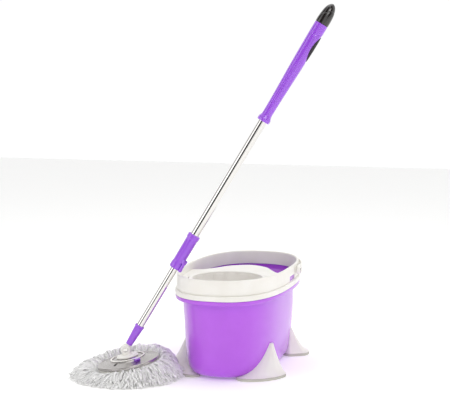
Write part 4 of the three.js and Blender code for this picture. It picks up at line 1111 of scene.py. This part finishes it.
# The matrix that stands an object's x, y and z along three directions, with its origin at a spot.
def standing(x, y, z, spot):
    return Matrix(np.vstack([np.column_stack([x, y, z, spot]), [0, 0, 0, 1]]).tolist())


# A plain floor under everything.
def makeFloor():
    mesh = bpy.data.meshes.new("floor")
    s = studio["floorHalf"]
    mesh.from_pydata([(-s, -s, 0), (s, -s, 0), (s, s, 0), (-s, s, 0)], [], [(0, 1, 2, 3)])
    material, _, shader = newMaterial("paleFloor")
    shader.inputs["Base Color"].default_value = toLinear("#FFFFFE")
    shader.inputs["Roughness"].default_value = 0.9
    shader.inputs["Specular IOR Level"].default_value = 0.1
    shader.inputs["Emission Color"].default_value = (1, 1, 1, 1)
    shader.inputs["Emission Strength"].default_value = studio["floorGlow"]
    mesh.materials.append(material)
    floor = bpy.data.objects.new("floor", mesh)
    bpy.context.scene.collection.objects.link(floor)


# The room: upright white, grey and dark bands by bearing that give bright metal its streaks, and plain
# white where the camera looks straight at it.
def makeRoom():
    world = bpy.data.worlds.new("studioRoom")
    world.use_nodes = True
    tree = world.node_tree
    background = tree.nodes["Background"]
    where = addNode(tree, "ShaderNodeTexCoord")
    parts = addNode(tree, "ShaderNodeSeparateXYZ", {}, {"Vector": where.outputs["Generated"]})
    bearing = addNode(tree, "ShaderNodeMath", {"operation": "ARCTAN2"}, {
        0: parts.outputs["Y"], 1: parts.outputs["X"]})
    share = addNode(tree, "ShaderNodeMapRange", {}, {
        "Value": bearing.outputs["Value"], "From Min": -math.pi, "From Max": math.pi})
    bands = addNode(tree, "ShaderNodeValToRGB", {}, {"Fac": share.outputs["Result"]})
    white, grey, dark = [1, 1, 1, 1], [0.55, 0.55, 0.55, 1], [0.02, 0.018, 0.022, 1]
    setRamp(bands, [(0.0, dark), (0.05, dark), (0.07, white), (0.15, white), (0.17, dark), (0.255, dark),
                    (0.27, grey), (0.29, white), (0.36, white), (0.38, dark), (0.46, dark), (0.48, white),
                    (0.95, white), (1.0, dark)])
    sight = addNode(tree, "ShaderNodeLightPath")
    seen = addNode(tree, "ShaderNodeMix", {"data_type": "RGBA"}, {"Factor": sight.outputs["Is Camera Ray"]})
    tree.links.new(bands.outputs["Color"], seen.inputs[6])
    seen.inputs[7].default_value = white
    tree.links.new(seen.outputs[2], background.inputs["Color"])
    background.inputs["Strength"].default_value = studio["roomStrength"]
    bpy.context.scene.world = world


# A square soft light that faces the bucket.
def softLight(name, offset, size, power, colour):
    light = bpy.data.lights.new(name, "AREA")
    light.size = size
    light.energy = power
    light.color = toLinear(colour)[:3]
    lamp = bpy.data.objects.new(name, light)
    bpy.context.scene.collection.objects.link(lamp)
    z = np.array(offset) - np.array(studio["aim"])
    z /= np.linalg.norm(z)
    x = np.cross([0, 0, 1.0], z)
    x /= np.linalg.norm(x)
    lamp.matrix_world = standing(x, np.cross(z, x), z, offset)


# The camera: it looks along a heading and a downward pitch, from a distance, moved sideways and up.
def makeCamera():
    a, p = math.radians(studio["heading"]), math.radians(studio["pitch"])
    right = np.array([math.cos(a), math.sin(a), 0])
    look = np.array([-math.sin(a) * math.cos(p), math.cos(a) * math.cos(p), -math.sin(p)])
    up = np.cross(right, look)
    spot = bucketPlace[0] - look * studio["distance"] - right * studio["right"] + up * studio["up"]
    camera = bpy.data.cameras.new("camera")
    camera.lens = studio["lens"]
    camera.sensor_width = 36
    stand = bpy.data.objects.new("camera", camera)
    bpy.context.scene.collection.objects.link(stand)
    stand.matrix_world = standing(right, up, -look, spot)
    bpy.context.scene.camera = stand


makeFloor()
makeRoom()
for light in studio["lights"]:
    softLight(*light)
makeCamera()
bpy.context.scene.view_settings.view_transform = "Standard"
print("studio made")
